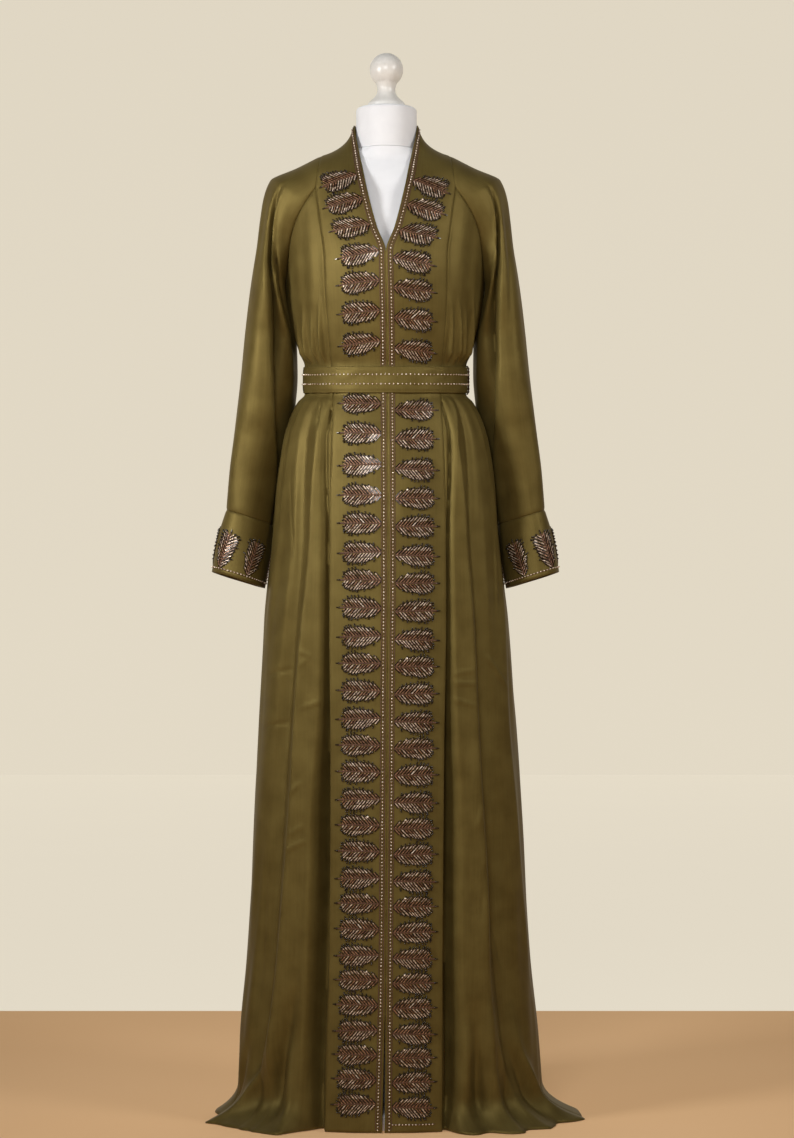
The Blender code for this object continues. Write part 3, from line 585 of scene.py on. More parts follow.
class Bead(Enum):
    """The kinds of bead and thread in the beadwork, in the order of its material slots."""

    BRONZE = 0
    SILVER = 1
    DARK = 2
    BRIGHT = 3
    CORD = 4

    def finish(self) -> Finish:
        """Gives the finish of this kind of bead or thread.

        Returns:
            The finish.
        """
        return {
            Bead.BRONZE: GlassBead(),
            Bead.SILVER: GlassBead("silver_bugle_bead", "7d6250", "e6cfba", 0.32, 0.30),
            Bead.DARK: GlassBead("dark_seed_bead", "120d08", "3a2c1c", 0.20, 0.25),
            Bead.BRIGHT: GlassBead("bright_seed_bead", "b29a82", "f6e8d8", 0.24, 0.20),
            Bead.CORD: TwistedThread(),
        }[self]


@dataclass
class Workroom:
    """Makes each finish once, and puts finished pieces into the scene on their CAD body."""

    made: dict[str, bpy.types.Material] = field(default_factory=dict)

    def dye(self, finish: Finish) -> bpy.types.Material:
        """Gives a finish's material, made the first time that it is asked for.

        Args:
            finish: The finish.

        Returns:
            Its material.
        """
        if finish.name not in self.made:
            self.made[finish.name] = finish.material()
        return self.made[finish.name]

    def place(self, name: str, mesh: bmesh.types.BMesh, finishes: Sequence[Finish], slot: str,
              nodes: Sequence[str] = (), sharp: float = 45.0) -> bpy.types.Object:
        """Puts a finished mesh into the scene.

        Args:
            name: The piece's name.
            mesh: The piece's bmesh, which is used up.
            finishes: The finishes, in the order of the material slots.
            slot: The record's material slot. Not used.
            nodes: The CAD nodes that the piece stands for.
            sharp: The angle in degrees past which an edge stays sharp.

        Returns:
            The piece.
        """
        data = bpy.data.meshes.new(name)
        mesh.to_mesh(data)
        mesh.free()
        data.shade_smooth()
        data.set_sharp_from_angle(angle=math.radians(sharp))
        for finish in finishes:
            data.materials.append(self.dye(finish))
        piece = bpy.data.objects.new(name, data)
        bpy.context.scene.collection.objects.link(piece)
        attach(piece, BODY_NAME)
        if nodes:
            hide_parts(*nodes)
        log.info("%s: %d faces", name, len(data.polygons))
        return piece


@dataclass(frozen=True)
class Sway:
    """How the garment hangs a little off the form's axis: its middle, and its front closure."""

    rows: SizeTable = SizeTable(("height", "middle", "front"), (
        (0, 0.006, -0.004), (0.2, 0.0035, -0.001), (0.45, 0.0033, 0.0012),
        (0.65, 0.0015, 0.0022), (0.85, -0.0015, 0.0036), (1.11, -0.0015, 0.0035),
        (1.22, -0.002, 0.002), (1.34, -0.002, -0.0003), (1.54, -0.0008, -0.0008),
    ))

    def moved(self, points: Array) -> Array:
        """Moves points from the garment's own middle to where it hangs.

        Args:
            points: The points.

        Returns:
            The moved points.
        """
        points = points.copy()
        middle, front = (self.rows.read(name, points[..., 2]) for name in ("middle", "front"))
        points[..., 0] += middle + (front - middle) * np.clip(-points[..., 1] / SWAY_DEPTH, 0, 1)
        return points


@dataclass
class ClothPiece:
    """One cut piece of cloth, from its flat grid to the sewn and hanging piece.

    across and along hold the grid's shares, width and length its usual flat size, and sewn the edges
    that are sewn: "low" and "high" across, "foot" and "head" along.
    """

    name: str
    patch: Patch
    across: Array
    along: Array
    width: float
    length: float
    side: Side = Side.RIGHT
    outward: int = 1
    sewn: tuple[str, ...] = ()
    seam_dip: float = 0.0009
    seam_reach: float = 0.0024
    sway: Sway = field(default_factory=Sway)

    def __post_init__(self) -> None:
        """Works out the grid of points where the cloth hangs."""
        u, v = np.meshgrid(self.across, self.along)
        points = self.patch(u, v)
        points = points + grid_normals(points) * self.outward * self.seam_relief(u, v)[..., None]
        self.points = self.sway.moved(points * np.array([self.side.value, 1.0, 1.0]))

    def seam_relief(self, u: Array, v: Array) -> Array:
        """Gives how far the cloth is drawn in at its sewn edges.

        Args:
            u: Shares across.
            v: Shares along.

        Returns:
            The relief in metres, below zero near a seam.
        """
        gaps = {"low": u * self.width, "high": (1 - u) * self.width,
                "foot": v * self.length, "head": (1 - v) * self.length}
        total = np.zeros(u.shape)
        for edge in self.sewn:
            total = total - self.seam_dip * np.exp(-(gaps[edge] / self.seam_reach) ** 2)
        return total

    def build(self, room: Workroom, finish: Finish, nodes: Sequence[str]) -> bpy.types.Object:
        """Cuts the flat grid, hangs it and gives it the cloth's thickness.

        Args:
            room: Where finished pieces are placed.
            finish: The cloth's finish.
            nodes: The CAD nodes that it stands for.

        Returns:
            The piece.
        """
        columns, rows = len(self.across) - 1, len(self.along) - 1
        mesh = bmesh.new()
        bmesh.ops.create_grid(mesh, x_segments=columns, y_segments=rows, size=0.5)
        places = [(round((v.co.x + 0.5) * columns), round((v.co.y + 0.5) * rows)) for v in mesh.verts]
        for vert, (column, row) in zip(mesh.verts, places):
            vert.co = self.points[row, column]
        if self.side.value * self.outward < 0:
            bmesh.ops.reverse_faces(mesh, faces=mesh.faces)
        piece = room.place(self.name, mesh, [finish], "satin", nodes, sharp=80.0)
        self.lay_threads(piece.data, np.array(places))
        wall = piece.modifiers.new("cloth", "SOLIDIFY")
        wall.thickness, wall.offset = CLOTH, 0.0
        return piece

    def lay_threads(self, data: bpy.types.Mesh, places: Array) -> None:
        """Gives the piece a UV map in metres, whose V runs along the warp.

        Args:
            data: The piece's mesh.
            places: The column and row of each vertex.
        """
        layer = data.uv_layers.new(name="cloth")
        corner = np.zeros(len(data.loops), dtype=np.int32)
        data.loops.foreach_get("vertex_index", corner)
        flat = np.stack([self.across[places[:, 0]] * self.width,
                         self.along[places[:, 1]] * self.length], axis=-1)
        layer.uv.foreach_set("vector", flat[corner].astype(np.float32).ravel())


def shares(count: int, size: float, low: bool = True, high: bool = True) -> Array:
    """Spaces a grid's lines evenly, with two close lines beside each sewn edge.

    Args:
        count: How many even spaces there are.
        size: The piece's size that way, in metres.
        low: Whether there are close lines at the start.
        high: Whether there are close lines at the end.

    Returns:
        The shares from 0 to 1.
    """
    extra = [step * MM / size for step in (1.4, 3.0)]
    lines = set(np.linspace(0, 1, count + 1))
    lines |= set(extra) if low else set()
    lines |= {1 - step for step in extra} if high else set()
    return np.array(sorted(lines))


@dataclass(frozen=True)
class RobeBody:
    """The shape that the fronts, the back and the bands share: sections, folds, gathers and seams."""

    low_share: float = 0.80
    pool_height: float = 0.050
    pool_curve: float = 2.2
    dip_depth: float = 0.0075
    dip_reach: float = 0.08
    fold_start: float = 0.014
    gather_start: float = 0.020
    band_clearance: float = 0.6
    mark_clearance: float = 2.0
    raglan_rows: int = 6
    # The share of the back's half width that the raglan seam takes at the top. The neck has the rest.
    raglan_share: float = 0.7059
    sections: SizeTable = SizeTable(("height", "side", "front", "back"), (
        (0, 0.235, 0.139, 0.2), (0.12, 0.229, 0.138, 0.192), (0.24, 0.2175, 0.137, 0.18),
        (0.33, 0.2125, 0.136, 0.173), (0.49, 0.205, 0.134, 0.162), (0.64, 0.196, 0.132, 0.153),
        (0.77, 0.1875, 0.13, 0.144), (0.82, 0.182, 0.129, 0.14), (0.89, 0.1745, 0.127, 0.134),
        (0.97, 0.169, 0.123, 0.125), (1.045, 0.1585, 0.117, 0.114), (1.08, 0.148, 0.11, 0.106),
        (1.105, 0.135, 0.104, 0.099), (BELT_LOW, 0.1238, 0.1012, 0.0967),
        (BELT_HIGH, 0.1238, 0.1012, 0.0967), (1.18, 0.131, 0.106, 0.099), (1.22, 0.1435, 0.115, 0.103),
        (1.26, 0.151, 0.122, 0.106), (1.3, 0.1555, 0.125, 0.107), (1.34, 0.16, 0.1215, 0.105),
        (1.38, 0.166, 0.1125, 0.1), (1.43, 0.172, 0.096, 0.092), (1.48, 0.172, 0.07, 0.072),
    ))
    band_edges: SizeTable = SizeTable(("height", "outer", "neck"), (
        (0, 0.088, 0), (0.1, 0.0864, 0), (0.33, 0.085, 0), (0.55, 0.0856, 0),
        (0.77, 0.0882, 0), (0.92, 0.088, 0), (1.02, 0.086, 0), (1.11, 0.0826, 0),
        (1.155, 0.0848, 0), (1.216, 0.089, 0), (1.264, 0.0925, 0), (1.324, 0.094, 0),
        (1.362, 0.0985, 0.013), (1.394, 0.1025, 0.0215), (NECK_JOIN, 0.107, 0.0292),
    ))
    # How far the hem lies out over the floor, by the angle round from the front
    pool: SizeTable = SizeTable(("angle", "reach"), (
        (-180, 0.045), (-140, 0.05), (-110, 0.036), (-92, 0.04), (-72, 0.04), (-58, 0.05),
        (-46, 0.056), (-38, 0.042), (-30, 0.004), (-24, 0), (22, 0), (27, 0.028), (34, 0.046),
        (45, 0.056), (62, 0.052), (78, 0.054), (92, 0.062), (112, 0.052), (140, 0.056), (180, 0.045),
    ))
    # Left front, left of the band: a deep trough, a panel with a sharp crest, and a flatter side
    folds: tuple[Fold, ...] = (
        Fold(((0, -25, -26, 3.4, 2.2), (0.12, -26, -32, 4, 2.2), (0.48, -27.2, -31, 3.6, 2.2),
              (0.62, -28, -21, 2, 1.7), (0.9, -32, -9, 1.5, 1.4), (1.05, -36.5, -5, 1.6, 1.4))),
        Fold(((0, -32.6, 3, 3, 1.5), (0.12, -32.4, 4.5, 4, 1.4), (0.48, -32.8, 4.5, 4, 1.4),
              (0.64, -31, 2.5, 4, 1.2), (1.05, -39.5, 0.6, 4, 1.2))),
        Fold(((0, -47.5, 12, 3.4, 4.5), (0.11, -47.5, 13, 3, 5), (0.3, -45.2, 13, 2.7, 7),
              (0.6, -42.2, 14, 2.2, 7), (0.9, -41.2, 8, 2.4, 5.5), (1.03, -41.5, 4, 2.6, 4),
              (1.1, -46, 1, 2.6, 3))),
        Fold(((0.08, -48.9, 0, 1.4, 1.8), (0.16, -48.2, 2.2, 1.3, 1.8), (0.3, -46.8, 2.4, 1.3, 1.8),
              (0.5, -44.9, 2.2, 1.3, 1.8), (0.7, -43.1, 1.4, 1.3, 1.8), (0.82, -42.6, 0, 1.3, 1.8))),
        Fold(((0, -58, -9, 7, 3.5), (0.3, -54.5, -13, 9, 3.5), (0.6, -51, -10, 8, 3),
              (0.9, -47.5, -3, 3.5, 3), (1.095, -52, -1, 3, 3))),
        Fold(((0.12, -66, 0, 6, 6), (0.3, -62, 2, 6, 6), (0.6, -58.5, 3, 7, 5),
              (0.9, -54, 4, 6, 3.5), (1.095, -58, 1, 5, 3.5))),
        Fold(((0.16, -65, 0, 2.5, 2.5), (0.24, -64.5, -4, 2.5, 2.5), (0.34, -63, -3, 2.5, 2.5),
              (0.42, -62, 0, 2.5, 2.5))),
        Fold(((0, -76, 16, 4, 5), (0.04, -66, 13, 3.5, 5), (0.115, -51.5, 5, 3, 3),
              (0.17, -49, 0, 3, 3))),
        Fold(((0, -47.5, -22, 7, 6), (0.05, -45, -22, 6, 4.5), (0.12, -41.5, -12, 3.6, 3),
              (0.22, -38.5, 0, 3, 3))),
        Fold(((0, -92, -9, 5, 5), (0.06, -78, -7, 4, 4), (0.14, -66, 0, 4, 4))),
        Fold(((0, -36, 14, 3, 3), (0.05, -37, 10, 3.5, 2.6), (0.14, -39, 0, 4, 3))),
        Fold(((0.04, -86, 0, 7, 7), (0.6, -72, 2, 7, 7), (1.095, -66, 3, 5, 5))),
        # Right front, from the band outwards
        Fold(((0, 24, -22, 1.8, 2.6), (0.1, 25, -29, 2, 3), (0.48, 26.4, -30, 2, 3.2),
              (0.62, 27.6, -21, 1.7, 1.9), (0.8, 29.8, -14, 1.3, 1.3), (0.92, 32.4, -10, 1.3, 1.3),
              (1.06, 37.4, -6, 1.4, 1.4))),
        Fold(((0.45, 31, 0, 1.5, 4), (0.62, 30.6, 3.5, 1.1, 5), (0.95, 34.6, 3, 1.1, 5),
              (1.06, 39.4, 2.5, 1.2, 3))),
        Fold(((0, 50, 11, 4, 2.6), (0.04, 46.5, 12, 5, 2.6), (0.1, 43.5, 13, 6, 2.6),
              (0.3, 43.4, 14, 9, 2.3), (0.6, 41.6, 11, 7, 2.3), (0.9, 41.4, 8, 5, 2.4),
              (1.03, 39.8, 6, 3, 2.6), (1.1, 46, 4, 2.6, 3))),
        Fold(((0.1, 53, -12, 3.6, 8), (0.3, 51, -14, 3.6, 9), (0.6, 48.4, -13, 3.2, 8),
              (0.9, 47.4, -6, 2.8, 4), (1.095, 51, -3, 3, 3))),
        Fold(((0.12, 84, 0, 6, 5), (0.3, 76, 4, 7, 4), (0.6, 66.5, 6, 7, 3.4),
              (0.9, 73, 4, 8, 4), (1.095, 66, 3, 5, 5))),
        Fold(((0.62, 54, 0, 3, 3), (0.72, 53.5, 2.5, 2.6, 3.4), (0.88, 57, 3, 3.5, 4),
              (1, 58, 0, 4, 4))),
        Fold(((0, 31.5, 3, 3, 5), (0.06, 31.5, 7, 2.6, 5), (0.12, 32.5, 5, 2.4, 4),
              (0.17, 33, 0, 2.4, 4))),
        Fold(((0, 62, 11, 5, 3), (0.085, 51.5, 9, 3, 3), (0.14, 46.5, 4, 3, 3),
              (0.2, 44, 0, 3, 3))),
        Fold(((0, 84, 14, 6, 3.5), (0.05, 74, 11, 4, 3), (0.12, 62, 6, 3, 3),
              (0.19, 59, 0, 3, 3))),
        Fold(((0, 73, -12, 4, 4), (0.06, 64, -9, 3, 3), (0.13, 56, 0, 3, 3))),
        Fold(((0, 38.5, -20, 4.5, 4), (0.06, 37.5, -17, 3.4, 3.4), (0.12, 37, -8, 3, 3),
              (0.2, 37, 0, 3, 3))),
        # Round the back, which the photograph doesn't show
        Fold(((0.04, 105, 13, 6, 8), (0.6, 106, 8, 5.5, 7), (1.095, 110, 3, 4.5, 4.5))),
        Fold(((0.04, 124, -13, 7, 6), (0.6, 126, -8, 6, 5), (1.095, 129, -3, 4.5, 4.5))),
        Fold(((0.04, 143, 17, 8, 5.5), (0.6, 144, 10, 7, 5), (1.095, 147, 4, 4.5, 4))),
        Fold(((0.04, 161, -15, 6.5, 7), (0.6, 162, -9, 6, 6), (1.095, 165, -3, 4, 4))),
        Fold(((0.04, 178, 16, 6, 8.5), (0.6, 179, 9, 5.5, 7), (1.095, 181, 4, 4.5, 4.5))),
        Fold(((0.04, 197, -14, 7.5, 6), (0.6, 196, -8, 6, 5.5), (1.095, 195, -3, 4, 4))),
        Fold(((0.04, 216, 17, 8, 6), (0.6, 214, 10, 7, 5), (1.095, 212, 4, 4.5, 4))),
        Fold(((0.04, 236, -12, 6, 7), (0.6, 233, -8, 6, 6), (1.095, 230, -3, 4.5, 4.5))),
        Fold(((0.04, 254, 12, 7, 7), (0.6, 252, 8, 6, 6), (1.095, 249, 3, 4.5, 4.5))),
    )
    # Gathers above the belt: angle at the belt and top, rise, height of the top, half width in degrees
    gathers: tuple[tuple[float, float, float, float, float], ...] = (
        (-76, -68, 0.009, 1.24, 2), (-66.5, -57, 0.0105, 1.262, 1.7),
        (-57, -49.5, 0.009, 1.25, 1.5), (-48.5, -41.5, 0.009, 1.272, 1.4),
        (47.5, 40.5, 0.009, 1.268, 1.4), (55.5, 46, 0.0105, 1.272, 1.5),
        (63.5, 52.5, 0.009, 1.262, 1.5), (72, 60, 0.0097, 1.285, 1.8),
        (115, 118, 0.0052, 1.25, 3.1), (132, 135, 0.0057, 1.26, 3.1),
        (150, 152, 0.0057, 1.265, 3.1), (168, 169, 0.0052, 1.25, 3.1),
        (190, 189, 0.0055, 1.255, 3.1), (208, 206, 0.0057, 1.265, 3.1),
        (226, 224, 0.0057, 1.26, 3.1), (244, 241, 0.0052, 1.25, 3.1),
    )
    slack: Slackness = Slackness()
    # Creases, one by one: angle and height of each end, rise in mm, half widths in mm
    marks: tuple[tuple[float, float, float, float, float, float, float], ...] = (
        (-72, 0.682, -45.5, 0.696, -1.6, 2.2, 2.6), (-43, 0.724, -35.5, 0.712, 1.4, 2.1, 2.6),
        (-36.5, 0.713, -43, 0.694, 1.4, 2.3, 2), (-41, 0.634, -28.5, 0.648, 1.7, 2, 2.6),
        (-74, 0.602, -45, 0.616, -1.4, 2.2, 2.6), (-45.5, 0.498, -37, 0.528, 1.9, 2, 2.6),
        (-44.5, 0.44, -35.5, 0.462, 1.6, 2, 2.6), (-46.5, 0.417, -33.5, 0.439, 1.8, 2, 2.6),
        (-53.5, 1, -50.5, 0.8, 1.4, 2.6, 3.2), (-61, 1, -51.5, 0.86, -1.4, 2.6, 2.6),
        (-47.5, 1.106, -42.5, 1.06, -3.7, 2.6, 2.6), (-39.5, 1.11, -34.5, 1.052, -3.2, 2.2, 2.2),
        (50.5, 0.722, 68, 0.66, 2.7, 2.3, 3.2), (27, 0.685, 44, 0.694, 1.4, 2.1, 2.4),
        (27, 0.675, 44, 0.67, 1.6, 2.1, 2.4), (27, 0.652, 43, 0.636, 1.7, 2.1, 2.4),
        (43, 0.498, 39, 0.448, 1.6, 2.3, 2.3), (40, 0.3, 43, 0.41, -1.4, 2.6, 2.6),
        (49.5, 0.336, 57.5, 0.226, -2.2, 3.2, 3.2), (70, 0.9, 62, 0.76, 1.4, 3.9, 3.2),
        (112, 0.72, 132, 0.7, 1.4, 2.3, 3), (150, 0.56, 171, 0.575, -1.6, 2.6, 2.6),
        (186, 0.74, 206, 0.722, 1.4, 2.3, 3), (222, 0.5, 243, 0.512, 1.4, 2.3, 3),
        (128, 1.33, 160, 1.3, 1.6, 9, 12), (232, 1.33, 200, 1.296, 1.6, 9, 12),
    )
    # Raglan seams from the underarm up: angle round from the front, and height
    raglan: SizeTable = SizeTable(("row", "front_angle", "front_z", "back_angle", "back_z"), (
        (0, 90, 1.28, 90, 1.28), (1, 78, 1.297, 102, 1.305), (2, 70.6, 1.322, 110.4, 1.34),
        (3, 64.3, 1.35, 120, 1.378), (4, 56.1, 1.378, 128.8, 1.412), (5, 47.2, 1.403, 137.6, 1.444),
        (6, 38.58, NECK_JOIN, 146.1, 1.474),
    ))
    back_neck: SizeTable = SizeTable(("share", "angle", "z"), (
        (0, 146.1, 1.474), (0.3333, 154.5, 1.466), (0.6667, 166.6, 1.458), (1, 180, 1.455),
    ))

    @property
    def join_angle(self) -> float:
        """The angle round from the front where band, front and sleeve meet."""
        return float(self.seam_angle(NECK_JOIN))

    def seam_angle(self, height: Array | float) -> Array:
        """Gives the angle round from the front, in degrees, at which the band is sewn on."""
        ratio = self.band_edges.read("outer", height) / self.sections.read("side", height)
        return np.degrees(np.arcsin(ratio))

    def skirt_relief(self, angle: Array, height: Array) -> Array:
        """Gives how far the skirt's folds stand out.

        Args:
            angle: Degrees round from the front.
            height: Heights in metres.

        Returns:
            The relief in metres.
        """
        total = np.zeros(np.broadcast(angle, height).shape)
        for fold in self.folds:
            total = total + fold.relief(angle, height)
        return total * smooth_step((BELT_LOW - height) / self.fold_start)

    def bodice_relief(self, angle: Array, height: Array) -> Array:
        """Gives how far the gathers above the belt stand out.

        Args:
            angle: Degrees round from the front.
            height: Heights in metres.

        Returns:
            The relief in metres.
        """
        total = np.zeros(np.broadcast(angle, height).shape)
        for belt_angle, top_angle, rise, top, width in self.gathers:
            share = np.clip((height - BELT_HIGH) / (top - BELT_HIGH), 0, 1)
            off = angle_between(angle, belt_angle + share * (top_angle - belt_angle)) / width
            total = total + rise * np.exp(-off ** 2) * (1 - smooth_step(share))
        return total * smooth_step((height - BELT_HIGH) / self.gather_start)

    def mark_relief(self, angle: Array, height: Array) -> Array:
        """Gives the relief of the listed creases, and of the cloth's slackness.

        Args:
            angle: Degrees round from the front.
            height: Heights in metres.

        Returns:
            The relief in metres.
        """
        across = np.radians(angle_between(angle, 0.0)) * AROUND
        total = self.slack.relief(across, height)
        for a0, z0, a1, z1, rise, near, far in self.marks:
            start, end = math.radians(a0) * AROUND, math.radians(a1) * AROUND
            crease = Crease((start, z0), (end, z1), rise * MM, near * MM, far * MM)
            total = total + crease.relief(across, height)
        return total

    def point(self, angle: Array | float, height: Array | float, side: int = 1, fine: bool = True) -> Array:
        """Gives the middle of the cloth at an angle round from the front.

        Args:
            angle: Degrees round from the front.
            height: Heights in metres.
            side: 1, or -1 for the left side turned over to the right.
            fine: Whether the creases and slackness count.

        Returns:
            The points.
        """
        turn = np.radians(angle)
        width = self.sections.read("side", height)
        depth = np.where(np.cos(turn) >= 0, self.sections.read("front", height),
                         self.sections.read("back", height))
        x, y = width * np.sin(turn), -depth * np.cos(turn)
        away = np.abs(angle_between(angle, 0.0)) - self.seam_angle(height)
        out = self.skirt_relief(side * angle, height) + self.bodice_relief(side * angle, height)
        marks = self.mark_relief(side * angle, height) if fine else 0.0
        pool = self.pool.read("reach", angle_between(side * angle, 0.0))
        pool = pool * np.clip(1 - height / self.pool_height, 0, 1) ** self.pool_curve
        out = out * smooth_step(away / self.band_clearance) + marks * smooth_step(away / self.mark_clearance)
        out = out + pool
        across, along = x / width ** 2, y / depth ** 2
        length = np.hypot(across, along)
        x, y = x + out * across / length, y + out * along / length
        reach = np.exp(-((height - BELT_MIDDLE) / self.dip_reach) ** 2)
        return upright(x, y, height - self.dip_depth * np.cos(turn) * reach)

    def raglan_seam(self, row: Array, name: str) -> Array:
        """Gives the points of the "front" or "back" raglan seam, at rows up the seam."""
        angle, height = self.raglan.read(f"{name}_angle", row), self.raglan.read(f"{name}_z", row)
        return self.point(angle, height, fine=False)

    def rise_of(self, v: Array, top: Array) -> tuple[Array, Array]:
        """Gives a body panel's heights, whose last rows spread up to a sloping top edge.

        Args:
            v: Shares up the panel.
            top: Height of the panel's top edge.

        Returns:
            The heights, and how far each is through the part that spreads.
        """
        rise = np.clip((v - self.low_share) / (1 - self.low_share), 0, 1)
        low = HEM + (BELT_HIGH - HEM) * np.clip(v / self.low_share, 0, 1)
        return low + (top - BELT_HIGH) * rise, rise

    def front_point(self, u: Array, v: Array, side: int = 1) -> Array:
        """Gives a front panel's points.

        Args:
            u: Shares from the band seam to the side seam.
            v: Shares from the hem up to the raglan seam.
            side: 1, or -1 for the left front turned over.

        Returns:
            The points.
        """
        row = self.raglan_rows * np.clip(1 - u, 0, 1)
        top_angle, top_z = self.raglan.read("front_angle", row), self.raglan.read("front_z", row)
        height, rise = self.rise_of(v, top_z)
        top_share = (top_angle - self.join_angle) / (90 - self.join_angle)
        share = u + (top_share - u) * rise
        start = self.seam_angle(height)
        point = self.point(start + share * (90 - start), height, side)
        top_start = self.seam_angle(top_z)
        top_edge = self.point(top_start + top_share * (90 - top_start), top_z, side)
        snap = self.raglan_seam(row, "front") - top_edge
        return point + snap * (rise ** 3)[..., None]

    def back_point(self, u: Array, v: Array) -> Array:
        """Gives the back panel's points.

        Args:
            u: Shares from the right side seam round to the left.
            v: Shares from the hem to the top edge.

        Returns:
            The points.
        """
        half = np.clip(1 - np.abs(2 * u - 1), 0, 1)
        side = np.where(u <= 0.5, 1.0, -1.0)
        row = np.clip(half / self.raglan_share * self.raglan_rows, 0, self.raglan_rows)
        neck = np.clip((half - self.raglan_share) / (1 - self.raglan_share), 0, 1)
        on_neck = neck > 0
        top_angle = np.where(on_neck, self.back_neck.read("angle", neck), self.raglan.read("back_angle", row))
        top_z = np.where(on_neck, self.back_neck.read("z", neck), self.raglan.read("back_z", row))
        height, rise = self.rise_of(v, top_z)
        share = half + ((top_angle - 90) / 90 - half) * rise
        turn = 180 + side * (90 * share - 90)
        point = self.point(turn, height)
        edge = 180 + side * (top_angle - 180)
        snap = self.point(edge, top_z, fine=False) - self.point(edge, top_z)
        return point + snap * (rise ** 3)[..., None]

    def back_collar(self, neck: Array) -> Array:
        """Gives the back neck seam's points, from the raglan seam to the middle."""
        return self.point(self.back_neck.read("angle", neck), self.back_neck.read("z", neck), fine=False)


@dataclass(frozen=True)
class RaglanSleeve:
    """A raglan sleeve: rings from the cuff seam to the underarm, then arcs up to the band."""

    body: RobeBody
    underarm: float = 7.0
    last: float = 13.0
    fold_middle: float = 0.035
    girth: float = 0.245
    length: float = 0.600
    folds: tuple[Fold, ...] = ()
    rings: SizeTable = SizeTable(
        ("place", "outer_x", "outer_z", "inner_x", "inner_y", "inner_z", "sweep", "front", "back",
         "stand_off"), (
            (0, 0.2465, 0.938, 0.174, 0.036, 0.915, 180, 0.046, 0.046, 0),
            (1, 0.2415, 1, 0.161, 0.046, 0.985, 180, 0.051, 0.049, 0),
            (2, 0.2345, 1.055, 0.151, 0.046, 1.043, 180, 0.055, 0.051, 0),
            (3, 0.2285, 1.105, 0.1415, 0.034, 1.1, 180, 0.057, 0.053, 0),
            (4, 0.223, 1.15, 0.1375, 0.03, 1.15, 180, 0.059, 0.055, 0),
            (5, 0.2172, 1.2, 0.1385, 0.03, 1.2, 180, 0.06, 0.057, 0),
            (6, 0.212, 1.24, 0.147, 0.016, 1.24, 180, 0.061, 0.06, 0),
            (7, 0.2077, 1.28, 0.1557, 0, 1.28, 180, 0.061, 0.062, 0.0004),
            (8, 0.2035, 1.312, 0.1557, 0, 1.28, 150, 0.061, 0.063, 0.0004),
            (9, 0.1985, 1.345, 0.1557, 0, 1.28, 124, 0.063, 0.065, 0.0004),
            (10, 0.1938, 1.385, 0.1557, 0, 1.28, 106, 0.066, 0.067, 0),
            (11, 0.1885, 1.422, 0.1557, 0, 1.28, 98, 0.07, 0.067, 0),
            (12, 0.1785, 1.449, 0.1557, 0, 1.28, 93, 0.073, 0.064, 0),
            (12.5, 0.1383, 1.4672, 0.1557, 0, 1.28, 91, 0.0755, 0.0625, 0),
            (13, 0.099, 1.4868, 0.1557, 0, 1.28, 90, 0.0765, 0.0615, 0),
        ))
    slack: Slackness = Slackness(seed=11)

    @staticmethod
    def arc(outer: Array, edge: Array, depth: Array, sweep: Array, share: Array) -> Array:
        """Gives points on an elliptic arc.

        Args:
            outer: Its start, on the sleeve's outer line.
            edge: Its end.
            depth: How deep the arc is.
            sweep: How far it turns, in degrees.
            share: Shares along it.

        Returns:
            The points.
        """
        turn = np.radians(sweep)
        reach = (depth * np.sin(turn)[..., None] - (edge - outer)) / (1 - np.cos(turn))[..., None]
        at = (turn * share)[..., None]
        return outer - reach + reach * np.cos(at) + depth * np.sin(at)

    def edge(self, place: Array, name: str) -> Array:
        """Gives the sewn edge along a raglan seam, or the underarm line below it.

        Args:
            place: Places up the sleeve.
            name: "front" or "back".

        Returns:
            The points.
        """
        seam = self.body.raglan_seam(np.clip(place - self.underarm, 0, self.body.raglan_rows), name)
        out = unit(seam * np.array([1.0, 1.0, 0.0]))
        seam = seam + out * self.rings.read("stand_off", place)[..., None]
        inner = self.rings.point("inner", place)
        return np.where((place < self.underarm)[..., None], inner, seam)

    def relief(self, u: Array, place: Array) -> Array:
        """Gives how far the sleeve's folds stand out, fading at its sewn edges.

        Args:
            u: Shares round the sleeve.
            place: Places up the sleeve.

        Returns:
            The relief in metres, out of the sleeve.
        """
        total = self.slack.relief(u * self.girth, place * self.length / self.last)
        for fold in self.folds:
            total = total + fold.relief(360 * u, place)
        return total * smooth_step(u / 0.10) * smooth_step((1 - u) / 0.06) * smooth_step(
            (self.last - place) / 0.5)

    def point(self, u: Array, v: Array) -> Array:
        """Gives the sleeve's points.

        Args:
            u: Shares from its front edge round the outside to its back edge.
            v: Shares from the cuff to the band.

        Returns:
            The points.
        """
        place = v * self.last
        outer = upright(self.rings.read("outer_x", place), 0.0, self.rings.read("outer_z", place))
        share, sweep = np.abs(2 * u - 1), self.rings.read("sweep", place)
        halves = []
        for name, sign in (("front", -1.0), ("back", 1.0)):
            depth = upright(0.0, sign * self.rings.read(name, place), 0.0)
            halves.append(self.arc(outer, self.edge(place, name), depth, sweep, share))
        point = np.where((u < 0.5)[..., None], *halves)
        middle = upright(self.rings.read("outer_x", place) - self.fold_middle, 0.0, point[..., 2])
        return point + unit(point - middle) * self.relief(u, place)[..., None]


